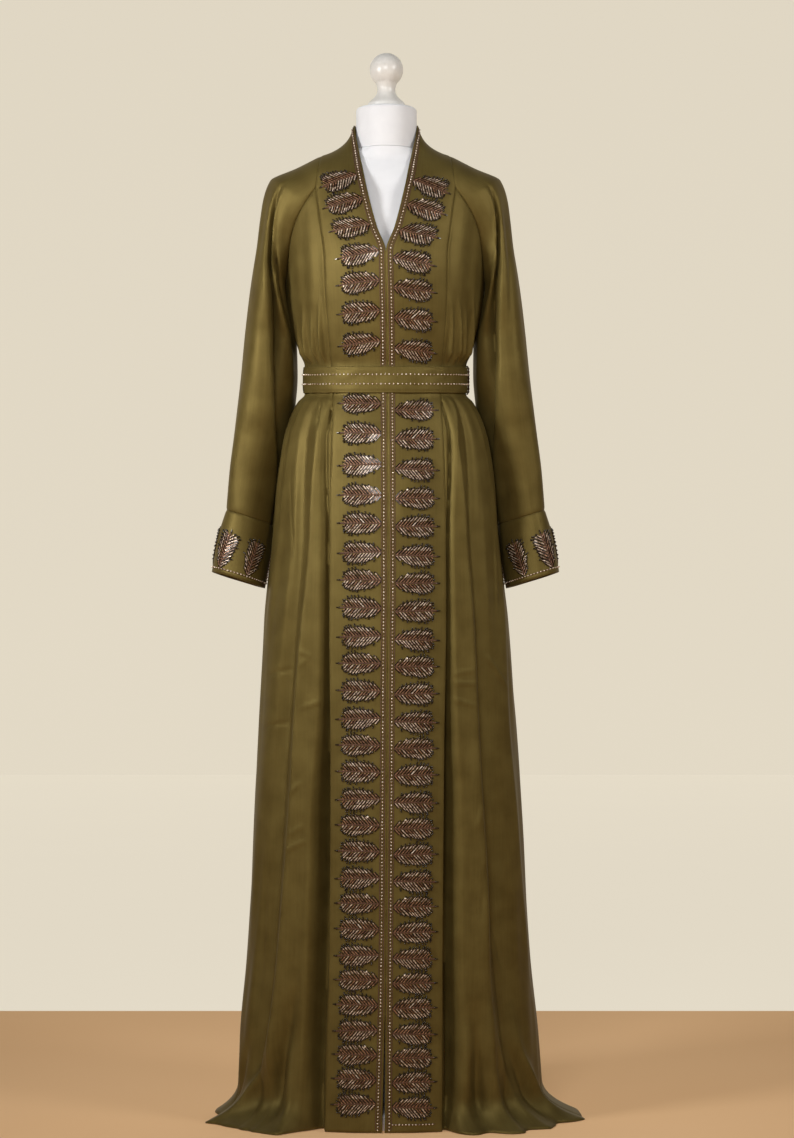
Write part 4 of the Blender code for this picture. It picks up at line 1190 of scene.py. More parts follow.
@dataclass(frozen=True)
class SlitCuff:
    """A straight cuff whose upper edge is the sleeve's lowest ring, with a slit on the body side."""

    sleeve: RaglanSleeve
    slit: float = 0.0050
    girth: float = 0.26
    depth: float = 0.095
    rings: SizeTable = SizeTable(
        ("place", "outer_x", "outer_z", "inner_x", "inner_y", "inner_z", "front", "back", "back_drop"), (
            (0, 0.2465, 0.938, 0.174, 0.036, 0.915, 0.046, 0.046, 0),
            (1, 0.26, 0.893, 0.18, 0.024, 0.864, 0.047, 0.047, 0.0006),
            (2, 0.2685, 0.842, 0.188, 0.012, 0.8175, 0.048, 0.05, 0.0018),
        ))

    def plain_point(self, u: Array, v: Array) -> Array:
        """Gives the cuff's points without the sleeve's fold.

        Args:
            u: Shares round the cuff.
            v: Shares down from the seam.

        Returns:
            The points.
        """
        place = 2 * v
        trim = self.slit * smooth_step(v / 0.8) / 2 / self.girth
        share = np.abs(2 * (trim + u * (1 - 2 * trim)) - 1)
        outer = upright(self.rings.read("outer_x", place), 0.0, self.rings.read("outer_z", place))
        inner = self.rings.point("inner", place)
        depth = np.where(u < 0.5, -self.rings.read("front", place), self.rings.read("back", place))
        point = self.sleeve.arc(outer, inner, upright(0.0, depth, 0.0), 180.0 + 0 * u, share)
        point[..., 2] -= self.rings.read("back_drop", place) * np.clip(point[..., 1] / 0.05, -1, 1)
        return point

    def point(self, u: Array, v: Array) -> Array:
        """Gives the cuff's points, at shares round it and down from the seam."""
        ring = self.sleeve.point(u, 0 * u) - self.plain_point(u, 0 * u)
        return self.plain_point(u, v) + ring * ((1 - np.clip(v, 0, 1)) ** 2)[..., None]


@dataclass(frozen=True)
class FrontBand:
    """A front band: from the hem up the front, over the shoulder and round to the back of the neck."""

    body: RobeBody
    sleeve: RaglanSleeve
    join_share: float = 0.84
    shoulder: float = 0.5
    back_join: float = 0.75
    turn_share: float = 0.4
    slit: float = 0.0036
    slit_top: float = 0.255
    width: float = 0.088
    length: float = 1.71
    slack: Slackness = Slackness(rise=0.00012, across_mm=(40.0, 120.0), along_mm=(60.0, 260.0), seed=3)
    # From the raglan join (0) to the centre back (1): the free neck edge, and the line where it turns up
    collar: SizeTable = SizeTable(("place", "edge_x", "edge_y", "edge_z", "turn_x", "turn_y", "turn_z"), (
        (0, 0.0292, -0.0957, NECK_JOIN, 0.0623, -0.0903, NECK_JOIN),
        (0.17, 0.0345, -0.07, 1.456, 0.065, -0.0745, 1.454),
        (0.33, 0.0405, -0.043, 1.486, 0.0645, -0.05, 1.481),
        (0.5, 0.0495, 0.001, 1.536, 0.0605, 0, 1.5095),
        (0.62, 0.0475, 0.027, 1.539, 0.0575, 0.031, 1.5085),
        (0.75, 0.037, 0.043, 1.538, 0.045, 0.054, 1.506),
        (0.88, 0.019, 0.0515, 1.537, 0.024, 0.067, 1.503),
        (1, 0, 0.054, 1.5365, 0, 0.071, 1.501),
    ))

    def collar_seam(self, place: Array) -> Array:
        """Gives the band's sewn edge above the raglan join, on the sleeve and then on the back.

        Args:
            place: Places from the raglan join to the centre back.

        Returns:
            The points.
        """
        u = np.where(place < self.shoulder, place, self.shoulder + (place - self.shoulder) * 2)
        on_sleeve = self.sleeve.point(np.clip(u, 0, 1), np.ones_like(u))
        neck = np.clip((place - self.back_join) / (1 - self.back_join), 0, 1)
        return np.where((neck > 0)[..., None], self.body.back_collar(neck), on_sleeve)

    def point(self, u: Array, v: Array) -> Array:
        """Gives the band's points.

        Args:
            u: Shares from its free edge to its sewn edge.
            v: Shares from the hem to the centre back neck.

        Returns:
            The points.
        """
        height = HEM + (NECK_JOIN - HEM) * np.clip(v / self.join_share, 0, 1)
        slit = self.slit / 2 * smooth_step((self.slit_top - height) / self.slit_top)
        free_x = np.maximum(self.body.band_edges.read("neck", height), slit)
        free = np.degrees(np.arcsin(free_x / self.body.sections.read("side", height)))
        low = self.body.point(free + u * (self.body.seam_angle(height) - free), height)
        place = np.clip((v - self.join_share) / (1 - self.join_share), 0, 1)
        edge, turn = self.collar.point("edge", place), self.collar.point("turn", place)
        a, b = u[..., None], self.turn_share
        high = (edge * (a - b) * (a - 1) / b + turn * a * (a - 1) / (b * (b - 1))
                + self.collar_seam(place) * a * (a - b) / (1 - b))
        point = np.where((v > self.join_share)[..., None], high, low)
        wavy = self.slack.relief(u * self.width, v * self.length) * smooth_step((1 - u) / 0.2)
        return point + upright(0.0, -1.0, 0.0) * wavy[..., None]


@dataclass(frozen=True)
class TiedBelt:
    """A stitched strip round the waist, lower in front than behind, its ends lapped at the back."""

    height: float = 0.0402
    thick: float = 0.0022
    side: float = 0.1264
    front: float = 0.1038
    back: float = 0.0993
    lap: float = 24.0
    lap_rise: float = 0.0028
    lap_start: float = 340.0
    lap_run: float = 18.0
    dip: float = 0.0075
    crown: float = 0.0006
    stitch_dip: float = 0.0005
    # Where the stitching lies and how wide its dip is, as shares of half the belt's height
    stitch_place: float = 0.87
    stitch_width: float = 0.06
    bead_rows: tuple[float, float] = (0.34, 0.70)
    row_margin: float = 0.06
    length: float = 0.76
    slack: Slackness = Slackness(rise=0.00010, across_mm=(30.0, 110.0), along_mm=(24.0, 60.0), seed=5)

    def point(self, u: Array, v: Array) -> Array:
        """Gives the middle of the belt.

        Args:
            u: Shares round it from its start at the back.
            v: Shares up it.

        Returns:
            The points.
        """
        travel = u * (360.0 + self.lap)
        turn = np.radians(travel - 180.0 - self.lap / 2)
        out = self.lap_rise * smooth_step((travel - self.lap_start) / self.lap_run)
        out = out + self.crown * (1 - (2 * v - 1) ** 4) + self.slack.relief(u * self.length, v * self.height)
        off = (np.abs(2 * v - 1) - self.stitch_place) / self.stitch_width
        out = out - self.stitch_dip * np.exp(-off ** 2)
        depth = np.where(np.cos(turn) >= 0, self.front, self.back) + out
        z = BELT_MIDDLE + (v - 0.5) * self.height - self.dip * np.cos(turn)
        return upright((self.side + out) * np.sin(turn), -depth * np.cos(turn), z)


class SewingGuide:
    """Finds places on a hanging piece of cloth by metres across it, along it and off its face."""

    def __init__(self, cloth: ClothPiece) -> None:
        """Measures the piece.

        Args:
            cloth: The piece that the work is sewn on to.
        """
        self.points = cloth.points
        rows, columns = self.points.shape[:2]
        step_across = np.linalg.norm(np.diff(self.points, axis=1), axis=-1)
        middle = self.points[:, columns // 2]
        step_along = np.linalg.norm(np.diff(middle, axis=0), axis=-1)
        self.along = np.concatenate([[0.0], np.cumsum(step_along)])
        self.widths = step_across.sum(axis=1)
        usual = np.concatenate([[0.0], np.cumsum(step_across.mean(axis=0))])
        self.shares = usual / usual[-1]
        self.handed = cloth.side.value * cloth.outward
        self.normals = grid_normals(self.points) * self.handed

    def lift(self, flat: Array) -> Array:
        """Moves flat work on to the cloth.

        Args:
            flat: Metres across, along and off the cloth, one row a point.

        Returns:
            The points on the hanging piece.
        """
        row = np.interp(flat[:, 1], self.along, np.arange(len(self.along)))
        width = np.interp(row, np.arange(len(self.widths)), self.widths)
        column = np.interp(flat[:, 0] / width, self.shares, np.arange(len(self.shares)))
        r = np.clip(row.astype(int), 0, self.points.shape[0] - 2)
        c = np.clip(column.astype(int), 0, self.points.shape[1] - 2)
        t, s = (row - r)[:, None], (column - c)[:, None]

        def blend(grid: Array) -> Array:
            """Reads a grid between its lines.

            Args:
                grid: Rows and columns of points or normals.

            Returns:
                One value for each point of the flat work.
            """
            low = grid[r, c] * (1 - s) + grid[r, c + 1] * s
            high = grid[r + 1, c] * (1 - s) + grid[r + 1, c + 1] * s
            return low * (1 - t) + high * t

        return blend(self.points) + unit(blend(self.normals)) * flat[:, 2:3]


class Beadwork:
    """A flat piece of beadwork, laid out in metres and then sewn on to a hanging piece of cloth."""

    def __init__(self) -> None:
        """Starts with no beads."""
        self.mesh = bmesh.new()

    def paint(self, verts: Sequence[bmesh.types.BMVert], bead: Bead) -> None:
        """Gives the faces at some new vertices a bead's material.

        Args:
            verts: The vertices.
            bead: The kind of bead.
        """
        for vert in verts:
            for face in vert.link_faces:
                face.material_index = bead.value

    def bugle(self, start: tuple[float, float], heading: float, length: float, radius: float,
              bead: Bead) -> None:
        """Lays a six-sided bugle bead.

        Args:
            start: Where its hole starts, across and along.
            heading: Which way it points, in degrees.
            length: How long it is.
            radius: Its radius.
            bead: Its kind.
        """
        turn = math.radians(heading)
        middle = Vector((start[0] + math.cos(turn) * length / 2, start[1] + math.sin(turn) * length / 2,
                         radius + CLOTH / 2))
        place = (Matrix.Translation(middle) @ Matrix.Rotation(turn, 4, "Z")
                 @ Matrix.Rotation(math.pi / 2, 4, "Y"))
        made = bmesh.ops.create_cone(self.mesh, cap_ends=True, segments=6, radius1=radius, radius2=radius,
                                     depth=length, matrix=place)
        self.paint(made["verts"], bead)

    def seed(self, place: tuple[float, float], radius: float, bead: Bead) -> None:
        """Lays a round seed bead.

        Args:
            place: Where it lies, across and along.
            radius: Its radius.
            bead: Its kind.
        """
        at = Matrix.Translation((place[0], place[1], radius * 0.8 + CLOTH / 2))
        made = bmesh.ops.create_uvsphere(self.mesh, u_segments=6, v_segments=4, radius=radius, matrix=at)
        self.paint(made["verts"], bead)

    def cord(self, path: Sequence[tuple[float, float]], radius: float, bead: Bead = Bead.CORD) -> None:
        """Couches a thin cord along a path.

        Args:
            path: Points across and along.
            radius: The cord's radius.
            bead: Its kind.
        """
        before = len(self.mesh.verts)
        points = [(x, y, CLOTH / 2 + radius * 0.6) for x, y in path]
        self.mesh.from_mesh(cord_mesh(points, radius))
        self.mesh.verts.ensure_lookup_table()
        self.paint(self.mesh.verts[before:], bead)

    def template(self, name: str) -> bpy.types.Mesh:
        """Turns the beadwork into a mesh that can be repeated.

        Args:
            name: Its name.

        Returns:
            The mesh.
        """
        data = bpy.data.meshes.new(name)
        self.mesh.to_mesh(data)
        self.mesh.free()
        return data

    def repeat(self, pattern: bpy.types.Mesh, place: tuple[float, float], heading: float = 0.0) -> None:
        """Lays a finished pattern again.

        Args:
            pattern: The pattern's mesh.
            place: Where its own zero comes to lie, across and along.
            heading: How far it is turned, in degrees.
        """
        copy = pattern.copy()
        copy.transform(Matrix.Translation((*place, 0.0)) @ Matrix.Rotation(math.radians(heading), 4, "Z"))
        self.mesh.from_mesh(copy)
        bpy.data.meshes.remove(copy)

    def sew(self, name: str, guide: SewingGuide, room: Workroom) -> bpy.types.Object:
        """Moves the flat beadwork on to the cloth and places it.

        Args:
            name: The piece's name.
            guide: The cloth that it is sewn on to.
            room: Where finished pieces are placed.

        Returns:
            The piece.
        """
        flat = np.array([vert.co for vert in self.mesh.verts])
        for vert, place in zip(self.mesh.verts, guide.lift(flat)):
            vert.co = place
        if guide.handed < 0:
            bmesh.ops.reverse_faces(self.mesh, faces=self.mesh.faces)
        return room.place(name, self.mesh, [bead.finish() for bead in Bead], "beads", sharp=50.0)


def cord_mesh(points: Sequence[Sequence[float]], radius: float, sides: int = 6) -> bpy.types.Mesh:
    """Makes a round closed cord along a path.

    Args:
        points: The path.
        radius: The cord's radius.
        sides: How many sides the cord has: 4, 6, 8 or more.

    Returns:
        The cord's mesh.
    """
    curve = bpy.data.curves.new("cord", "CURVE")
    curve.dimensions = "3D"
    curve.bevel_depth, curve.bevel_resolution = radius, (sides - 4) // 2
    curve.use_fill_caps = True
    line = curve.splines.new("POLY")
    line.points.add(len(points) - 1)
    for target, point in zip(line.points, points):
        target.co = (*point, 1.0)
    holder = bpy.data.objects.new("cord", curve)
    data = bpy.data.meshes.new_from_object(holder)
    bpy.data.objects.remove(holder)
    return data


@dataclass(frozen=True)
class BeadedLeaf:
    """A leaf in bugle beads: a couched stem with slanting veins on both sides, and dark seeds outside.

    It lies along +X from its root at zero. Each vein has an inner bugle in bronze and an outer one that is
    more silvery, and dark bugles lie between the veins as painted shade, for the shadow between them.
    """

    length: float = 0.0620
    veins: int = 12
    slant: float = 48.0
    first_vein: float = 0.0004
    last_vein: float = 0.0530
    bugle_radius: float = 0.00078
    tier: float = 0.0096
    vein_gap: float = 0.0018
    stem_radius: float = 0.00120
    seed_radius: float = 0.00175
    # Some bugles are laid in the bright bead finish as painted highlights, at this share
    painted_glint_share: float = 0.06
    crystal_share: float = 0.015
    stem_clear: float = 0.0012
    least_bugle: float = 0.002
    bugle_share: float = 0.94
    bugle_gap: float = 0.0004
    # Size of the dark bugles that are painted shade between the veins
    shade_bugle_size: float = 1.1
    # The seeds at a vein's tip: how far ahead and aside they lie, and their size
    tip_seeds: tuple[tuple[float, float, float], ...] = ((0.0016, 0.0, 1.0), (0.0042, 0.0012, 0.8))
    seed: int = 1
    # How far a vein reaches square to the stem, by the share along the leaf where it leaves the stem
    outline: SizeTable = SizeTable(("share", "reach"), (
        (0, 0.0098), (0.1, 0.0122), (0.25, 0.0142), (0.42, 0.0148), (0.6, 0.0141), (0.78, 0.0116),
        (0.9, 0.0082), (1, 0.0038),
    ))

    def template(self) -> bpy.types.Mesh:
        """Lays out one leaf.

        Returns:
            The leaf's mesh.
        """
        chance = np.random.default_rng(self.seed)
        work = Beadwork()
        work.cord([(0.0, 0.0), (self.length * 0.5, 0.0005), (self.length, 0.0)], self.stem_radius)
        for number in range(self.veins):
            share = number / (self.veins - 1)
            for way in (1, -1):
                self.lay_vein(work, share, way, chance)
        work.seed((self.length + 0.0012, 0.0), self.seed_radius, Bead.DARK)
        work.bugle((self.length + 0.002, 0.0), 0.0, 0.0036, self.stem_radius * 0.8, Bead.DARK)
        return work.template("leaf")

    def lay_vein(self, work: Beadwork, share: float, way: int, chance: np.random.Generator) -> None:
        """Lays one vein with the seed beads at its tip.

        Args:
            work: The beadwork.
            share: How far along the leaf it leaves the stem.
            way: 1 above the stem, -1 below it.
            chance: Small differences between the beads.
        """
        root = self.first_vein + (self.last_vein - self.first_vein) * share
        heading = way * (self.slant + chance.normal(0, 2.0))
        turn = math.radians(heading)
        whole = float(self.outline.read("reach", share)) / math.sin(math.radians(self.slant))
        at, tier = self.stem_clear, 0
        while at < whole - self.least_bugle:
            length = min(self.tier + chance.normal(0, 0.0003), whole - at)
            start = (root + math.cos(turn) * at, math.sin(turn) * at)
            kind = Bead.BRONZE if tier == 0 and (way > 0 or chance.random() < 0.5) else Bead.SILVER
            # A few bugles take the bright finish, as painted highlights on the veins
            kind = Bead.BRIGHT if chance.random() < self.painted_glint_share else kind
            work.bugle(start, heading, length * self.bugle_share, self.bugle_radius, kind)
            # A dark bugle beside each one is painted shade, for the shadow between the veins
            under = (start[0] - way * math.sin(turn) * self.vein_gap,
                     start[1] + way * math.cos(turn) * self.vein_gap)
            work.bugle(under, heading, length * self.bugle_share, self.bugle_radius * self.shade_bugle_size,
                       Bead.DARK)
            at, tier = at + length + self.bugle_gap, tier + 1
        for ahead, aside, size in self.tip_seeds[:int(chance.integers(1, 3))]:
            place = (root + math.cos(turn) * (whole + ahead) - math.sin(turn) * way * aside,
                     math.sin(turn) * (whole + ahead) + math.cos(turn) * way * aside)
            kind = Bead.BRIGHT if chance.random() < self.crystal_share else Bead.DARK
            work.seed(place, self.seed_radius * size * chance.uniform(0.9, 1.1), kind)


@dataclass(frozen=True)
class BeadRow:
    """A row of bright seed beads on a brown cord, with a thinner cord on each side of it."""

    pitch: float = 0.0050
    radius: float = 0.00130
    cord_gap: float = 0.0032
    cord_radius: float = 0.00065
    block: int = 12
    silver_every: int = 5
    silver_first: int = 3
    cord_step: float = 0.006

    def lay(self, work: Beadwork, across: float, start: float, end: float, upright_row: bool = True,
            cords: bool = True) -> None:
        """Lays a row along or across a piece.

        Args:
            work: The beadwork.
            across: Where the row lies the other way.
            start: Where it starts.
            end: Where it ends.
            upright_row: Whether it runs along the piece, or else across it.
            cords: Whether it has cords beside it.
        """
        row = Beadwork()
        for number in range(int((end - start) / self.pitch) + 1):
            kind = Bead.SILVER if number % self.silver_every == self.silver_first else Bead.BRIGHT
            row.seed((0.0, start + number * self.pitch), self.radius, kind)
            if number % self.block == self.block - 1:
                work.repeat(row.template("bead_row"), *self.turned(across, upright_row))
                row = Beadwork()
        work.repeat(row.template("bead_row"), *self.turned(across, upright_row))
        steps = np.linspace(start, end, max(3, int((end - start) / self.cord_step)))
        for gap in (-self.cord_gap, 0.0, self.cord_gap):
            if cords or gap == 0.0:
                path = [(across + gap, s) if upright_row else (s, across + gap) for s in steps]
                work.cord(path, self.cord_radius)

    @staticmethod
    def turned(across: float, upright_row: bool) -> tuple[tuple[float, float], float]:
        """Gives the place and heading of a row that was laid along the piece."""
        return ((across, 0.0), 0.0) if upright_row else ((0.0, across), -90.0)


# The photograph's sleeve folds: an outer roll with a sharp inner edge, and hollows between it and the body
SLEEVE_FOLDS: dict[Side, tuple[Fold, ...]] = {
    Side.LEFT: (
        Fold(((0, 36, 3, 10, 30), (1, 48, 5, 9, 30), (3, 80, 6, 9, 34), (5, 95, 6, 9, 34),
              (7, 92, 6, 8, 30), (9, 90, 5, 8, 24), (11, 88, 3, 8, 20), (12.3, 88, 0, 8, 20))),
        Fold(((0, 22, -5, 9, 9), (1, 31, -11, 13, 9), (3, 60, -20, 18, 9), (5, 73, -21, 13, 9),
              (7, 74, -18, 10, 8), (9, 76, -13, 8, 7), (11, 78, -7, 6, 6), (12.2, 80, 0, 5, 5))),
        Fold(((3, 32, 0, 9, 9), (5, 47, 6, 9, 9), (7, 58, 8, 8, 8), (9, 65, 6, 7, 7),
              (11, 70, 3, 6, 6), (12.2, 72, 0, 6, 6))),
        Fold(((4.5, 30, 0, 8, 8), (6, 38, -11, 8, 8), (7.6, 46, -11, 8, 8), (9.5, 54, 0, 7, 7))),
        Fold(((2, 128, 0, 12, 12), (2.4, 122, 1.4, 12, 12), (3.2, 140, 0, 12, 12))),
        Fold(((5, 150, 0, 14, 14), (8, 140, 2.5, 12, 16), (11, 128, 0, 12, 12))),
    ),
    Side.RIGHT: (
        Fold(((0, 29, 3, 9, 30), (1, 46, 5, 9, 32), (3, 74, 6, 8, 36), (5, 87, 6, 8, 36),
              (7, 76, 6, 7, 32), (9, 80, 5, 8, 26), (11, 86, 3, 8, 22), (12.3, 88, 0, 8, 20))),
        Fold(((0, 16, -4, 8, 8), (1, 29, -11, 12, 9), (3, 54, -20, 17, 9), (5, 66, -20, 12, 9),
              (7, 60, -17, 9, 8), (9, 66, -12, 8, 7), (11, 76, -6, 6, 6), (12.2, 78, 0, 5, 5))),
        Fold(((3, 28, 0, 9, 9), (5, 42, 5, 9, 9), (7, 46, 6, 7, 7), (9, 54, 5, 7, 7),
              (11, 66, 3, 6, 6), (12.2, 70, 0, 6, 6))),
        Fold(((5, 112, 0, 8, 12), (7, 108, -4, 8, 14), (9, 104, -3, 8, 14), (11, 100, 0, 8, 8))),
        Fold(((0.2, 60, 0, 8, 8), (0.6, 62, -2.4, 7, 7), (1.4, 66, 0, 8, 8))),
        Fold(((4, 150, 0, 14, 14), (7, 138, 2, 12, 16), (10, 132, 0, 12, 12))),
    ),
}


@dataclass
class Abaya:
    """The garment: fronts, back, sleeves, cuffs, bands, belt, loops and hooks, with their beadwork."""

    room: Workroom
    body: RobeBody = field(default_factory=RobeBody)
    satin: OliveSatin = OliveSatin()
    front_width: float = 0.235
    chest_tip: float = 5.0
    tip_growth: float = 0.35
    front_height: float = 1.43
    back_width: float = 0.640
    leaf_root: float = 0.0112
    row_place: float = 0.0068
    leaf_tilts: tuple[float, float, float] = (-1.5, 1.0, 0.5)
    row_margin: float = 0.004
    # The bead row at the foot of the right band: how high it lies, and its start and end across
    foot_row: tuple[float, float, float] = (0.012, 0.012, 0.076)
    cuff_leaves: int = 5
    cuff_first: float = 0.215
    cuff_pitch: float = 0.166
    cuff_row: float = 0.0080
    cuff_leaf_gap: float = 0.002
    cuff_slit_row: float = 0.0035
    cuff_slit_start: float = 0.38
    cuff_lean: float = -98.0
    loop_radius: float = 0.0008
    loop_reach: float = 0.1277
    loop_start: float = 0.1246
    loop_bend: float = 0.0190
    loop_foot: float = 0.0225
    loop_steps: int = 90
    # Half turns of its two strands, and how far off the middle each lies, as a share of the loop's radius
    loop_twists: int = 9
    strand_off: float = 0.8
    strand_size: float = 1.05

    def build(self) -> None:
        """Builds every piece of the garment."""
        self.build_back()
        for side in Side:
            sleeve = RaglanSleeve(self.body, folds=SLEEVE_FOLDS[side])
            self.build_front(side)
            self.build_sleeve(side, sleeve)
            self.build_cuff(side, SlitCuff(sleeve))
            self.build_band(side, FrontBand(self.body, sleeve))
            self.build_loop(side)
            self.finish_hook(side)
        self.build_belt(TiedBelt())

    def build_back(self) -> None:
        """Builds the back panel."""
        cloth = ClothPiece("back_panel", self.body.back_point, shares(116, self.back_width),
                           shares(290, self.front_height, low=False), self.back_width, self.front_height,
                           sewn=("low", "high", "head"))
        piece = cloth.build(self.room, self.satin, ["back"])

    def build_front(self, side: Side) -> None:
        """Builds one front panel.

        Args:
            side: Which side it is on.
        """
        def patch(u: Array, v: Array) -> Array:
            """Gives this side's front, turned to the right."""
            return self.body.front_point(u, v, side.value)

        cloth = ClothPiece(f"front_panel_{side.word}", patch, shares(70, self.front_width),
                           shares(400, self.front_height, low=False), self.front_width, self.front_height,
                           side, sewn=("low", "high", "head"))
        piece = cloth.build(self.room, self.satin, [f"front_{side.word}"])

    def build_sleeve(self, side: Side, sleeve: RaglanSleeve) -> None:
        """Builds one sleeve.

        Args:
            side: Which side it is on.
            sleeve: Its shape.
        """
        cloth = ClothPiece(f"raglan_sleeve_{side.word}", sleeve.point, shares(80, sleeve.girth),
                           shares(180, sleeve.length), sleeve.girth, sleeve.length, side,
                           sewn=("low", "high", "foot", "head"))
        ease_rows(cloth, sleeve.underarm / sleeve.last, 0.13, 260, ("low", "high"))
        piece = cloth.build(self.room, self.satin, [f"sleeve_{side.word}"])

    def build_cuff(self, side: Side, cuff: SlitCuff) -> None:
        """Builds one cuff and its beadwork.

        Args:
            side: Which side it is on.
            cuff: Its shape.
        """
        cloth = ClothPiece(f"sleeve_cuff_{side.word}", cuff.point, shares(56, cuff.girth, False, False),
                           shares(24, cuff.depth, high=False), cuff.girth, cuff.depth, side, outward=-1,
                           sewn=("foot",))
        piece = cloth.build(self.room, self.satin, [f"cuff_{side.word}"])
        guide = SewingGuide(cloth)
        work, foot, around = Beadwork(), float(guide.along[-1]), float(guide.widths.mean())
        leaf = BeadedLeaf(0.0570, 10, 42.0, last_vein=0.0500, outline=SizeTable(("share", "reach"), (
            (0, 0.009), (0.2, 0.012), (0.5, 0.0138), (0.8, 0.012), (1, 0.006))), seed=4).template()
        for number in range(self.cuff_leaves):
            place = (self.cuff_first + self.cuff_pitch * number) * around
            work.repeat(leaf, (place, foot - self.cuff_row - self.cuff_leaf_gap), self.cuff_lean)
        row = BeadRow(0.0052)
        row.lay(work, foot - self.cuff_row, self.row_margin, around - self.row_margin, False, False)
        for across in (self.cuff_slit_row, around - self.cuff_slit_row):
            row.lay(work, across, foot * self.cuff_slit_start, foot - self.cuff_row, True, False)
        work.sew(f"cuff_beadwork_{side.word}", guide, self.room)

    def build_band(self, side: Side, band: FrontBand) -> None:
        """Builds one front band and its beadwork.

        Args:
            side: Which side it is on.
            band: Its shape.
        """
        cloth = ClothPiece(f"front_band_{side.word}", band.point, shares(22, band.width),
                           shares(340, band.length, False, False), band.width, band.length, side,
                           sewn=("high",))
        ease_rows(cloth, band.join_share, 0.030, 14, ("high",))
        piece = cloth.build(self.room, self.satin, [f"band_{side.word}"])
        guide = SewingGuide(cloth)
        work = Beadwork()
        leaves = [BeadedLeaf(seed=number).template() for number in (1, 2, 3)]
        spacing = LEAF_SPACINGS[side]
        for number, place in enumerate(spacing.places()):
            # Over the chest the leaves lie square to the neck edge, so they tip down outwards
            chest = number - spacing.skirt_leaves
            tip = self.chest_tip + self.tip_growth * chest ** 2 if chest >= 0 else 0.0
            work.repeat(leaves[number % 3], (self.leaf_root, place), self.leaf_tilts[number % 3] - tip)
        BeadRow().lay(work, self.row_place, self.row_margin, float(guide.along[-1]) - self.row_margin)
        if side is Side.RIGHT:
            BeadRow().lay(work, *self.foot_row, False, False)
        work.sew(f"band_beadwork_{side.word}", guide, self.room)

    def build_belt(self, belt: TiedBelt) -> None:
        """Builds the belt and its two bead rows.

        Args:
            belt: Its shape.
        """
        cloth = ClothPiece("stitched_belt", belt.point, np.linspace(0, 1, 193), np.linspace(0, 1, 25),
                           belt.length, belt.height)
        piece = cloth.build(self.room, self.satin, ["belt"])
        piece.modifiers["cloth"].thickness = belt.thick
        guide = SewingGuide(cloth)
        work = Beadwork()
        row, end = BeadRow(0.0064, 0.00125, cord_radius=0.0003), float(guide.widths.mean()) - belt.row_margin
        for share in belt.bead_rows:
            row.lay(work, share * belt.height, belt.row_margin, end, False, False)
        work.sew("belt_beadwork", guide, self.room)

    def build_loop(self, side: Side) -> None:
        """Builds the cord loop over the belt at one side seam.

        Args:
            side: Which side it is on.
        """
        radius, off = self.loop_radius, self.loop_radius * self.strand_off
        foot, bend = self.loop_foot, self.loop_bend
        path = [(self.loop_start, BELT_MIDDLE - foot), (self.loop_reach, BELT_MIDDLE - bend),
                (self.loop_reach, BELT_MIDDLE + bend), (self.loop_start, BELT_MIDDLE + foot)]
        route = np.array([path_at(path, t) for t in np.linspace(0, 1, self.loop_steps)])
        mesh = bmesh.new()
        for strand in (0, 1):
            turn = np.linspace(0, self.loop_twists * math.pi, self.loop_steps) + strand * math.pi
            points = [(side.value * (x + math.cos(a) * off), math.sin(a) * off, z)
                      for (x, z), a in zip(route, turn)]
            mesh.from_mesh(cord_mesh(points, radius * self.strand_size, 8))
        self.room.place(f"rouleau_loop_{side.word}", mesh, [TwistedThread()], "rouleau",
                        [f"belt_loop_{side.word}"])

    def finish_hook(self, side: Side) -> None:
        """Keeps one cuff hook's CAD shape and gives it dark enamelled wire.

        Args:
            side: Which side it is on.
        """
        wire = self.room.dye(PowderCoat("dark_enamelled_wire", "2c2018", "4a382c", 0.32, 0.6))
        hook = bpy.data.objects[f"cuff_hook_{side.word}"]
        for place in hook.material_slots:
            place.material = wire
        log.info("%s: refinished", hook.name)


def path_at(path: Sequence[tuple[float, float]], share: float, soft: float = 0.0022) -> Array:
    """Gives a point on a rounded route through a few corners.

    Args:
        path: The corners.
        share: The share of the way.
        soft: How far before and after a corner the route is rounded, in metres.

    Returns:
        The point.
    """
    corners = np.array(path)
    steps = np.concatenate([[0.0], np.cumsum(np.linalg.norm(np.diff(corners, axis=0), axis=1))])
    at = share * steps[-1]
    spots = [np.array([np.interp(at + shift, steps, corners[:, axis]) for axis in (0, 1)])
             for shift in (-soft, 0.0, soft)]
    return sum(spots) / 3


def ease_rows(cloth: ClothPiece, share: float, reach: float, rounds: int, kept: tuple[str, ...],
              margin: float = 0.02, fade: float = 0.05) -> None:
    """Eases a piece's grid where two ways of shaping it meet.

    Args:
        cloth: The piece.
        share: The share along it where they meet.
        reach: How far the easing goes, as a share of the piece's length.
        rounds: How often the rows are eased.
        kept: The sewn edges that stay as they are, "low" or "high".
        margin: The share across that stays beside a kept edge.
        fade: The share across over which the easing then grows.
    """
    gaps = {"low": cloth.across, "high": 1 - cloth.across}
    free = np.prod([smooth_step((gaps[edge] - margin) / fade) for edge in kept], axis=0)
    near = 1 - smooth_step(np.abs(cloth.along[1:-1] - share) / reach)
    weight = (near[:, None] * free[None, :])[..., None]
    for _ in range(rounds):
        middle = (cloth.points[:-2] + cloth.points[2:]) / 2
        cloth.points[1:-1] += (middle - cloth.points[1:-1]) * weight * 0.5


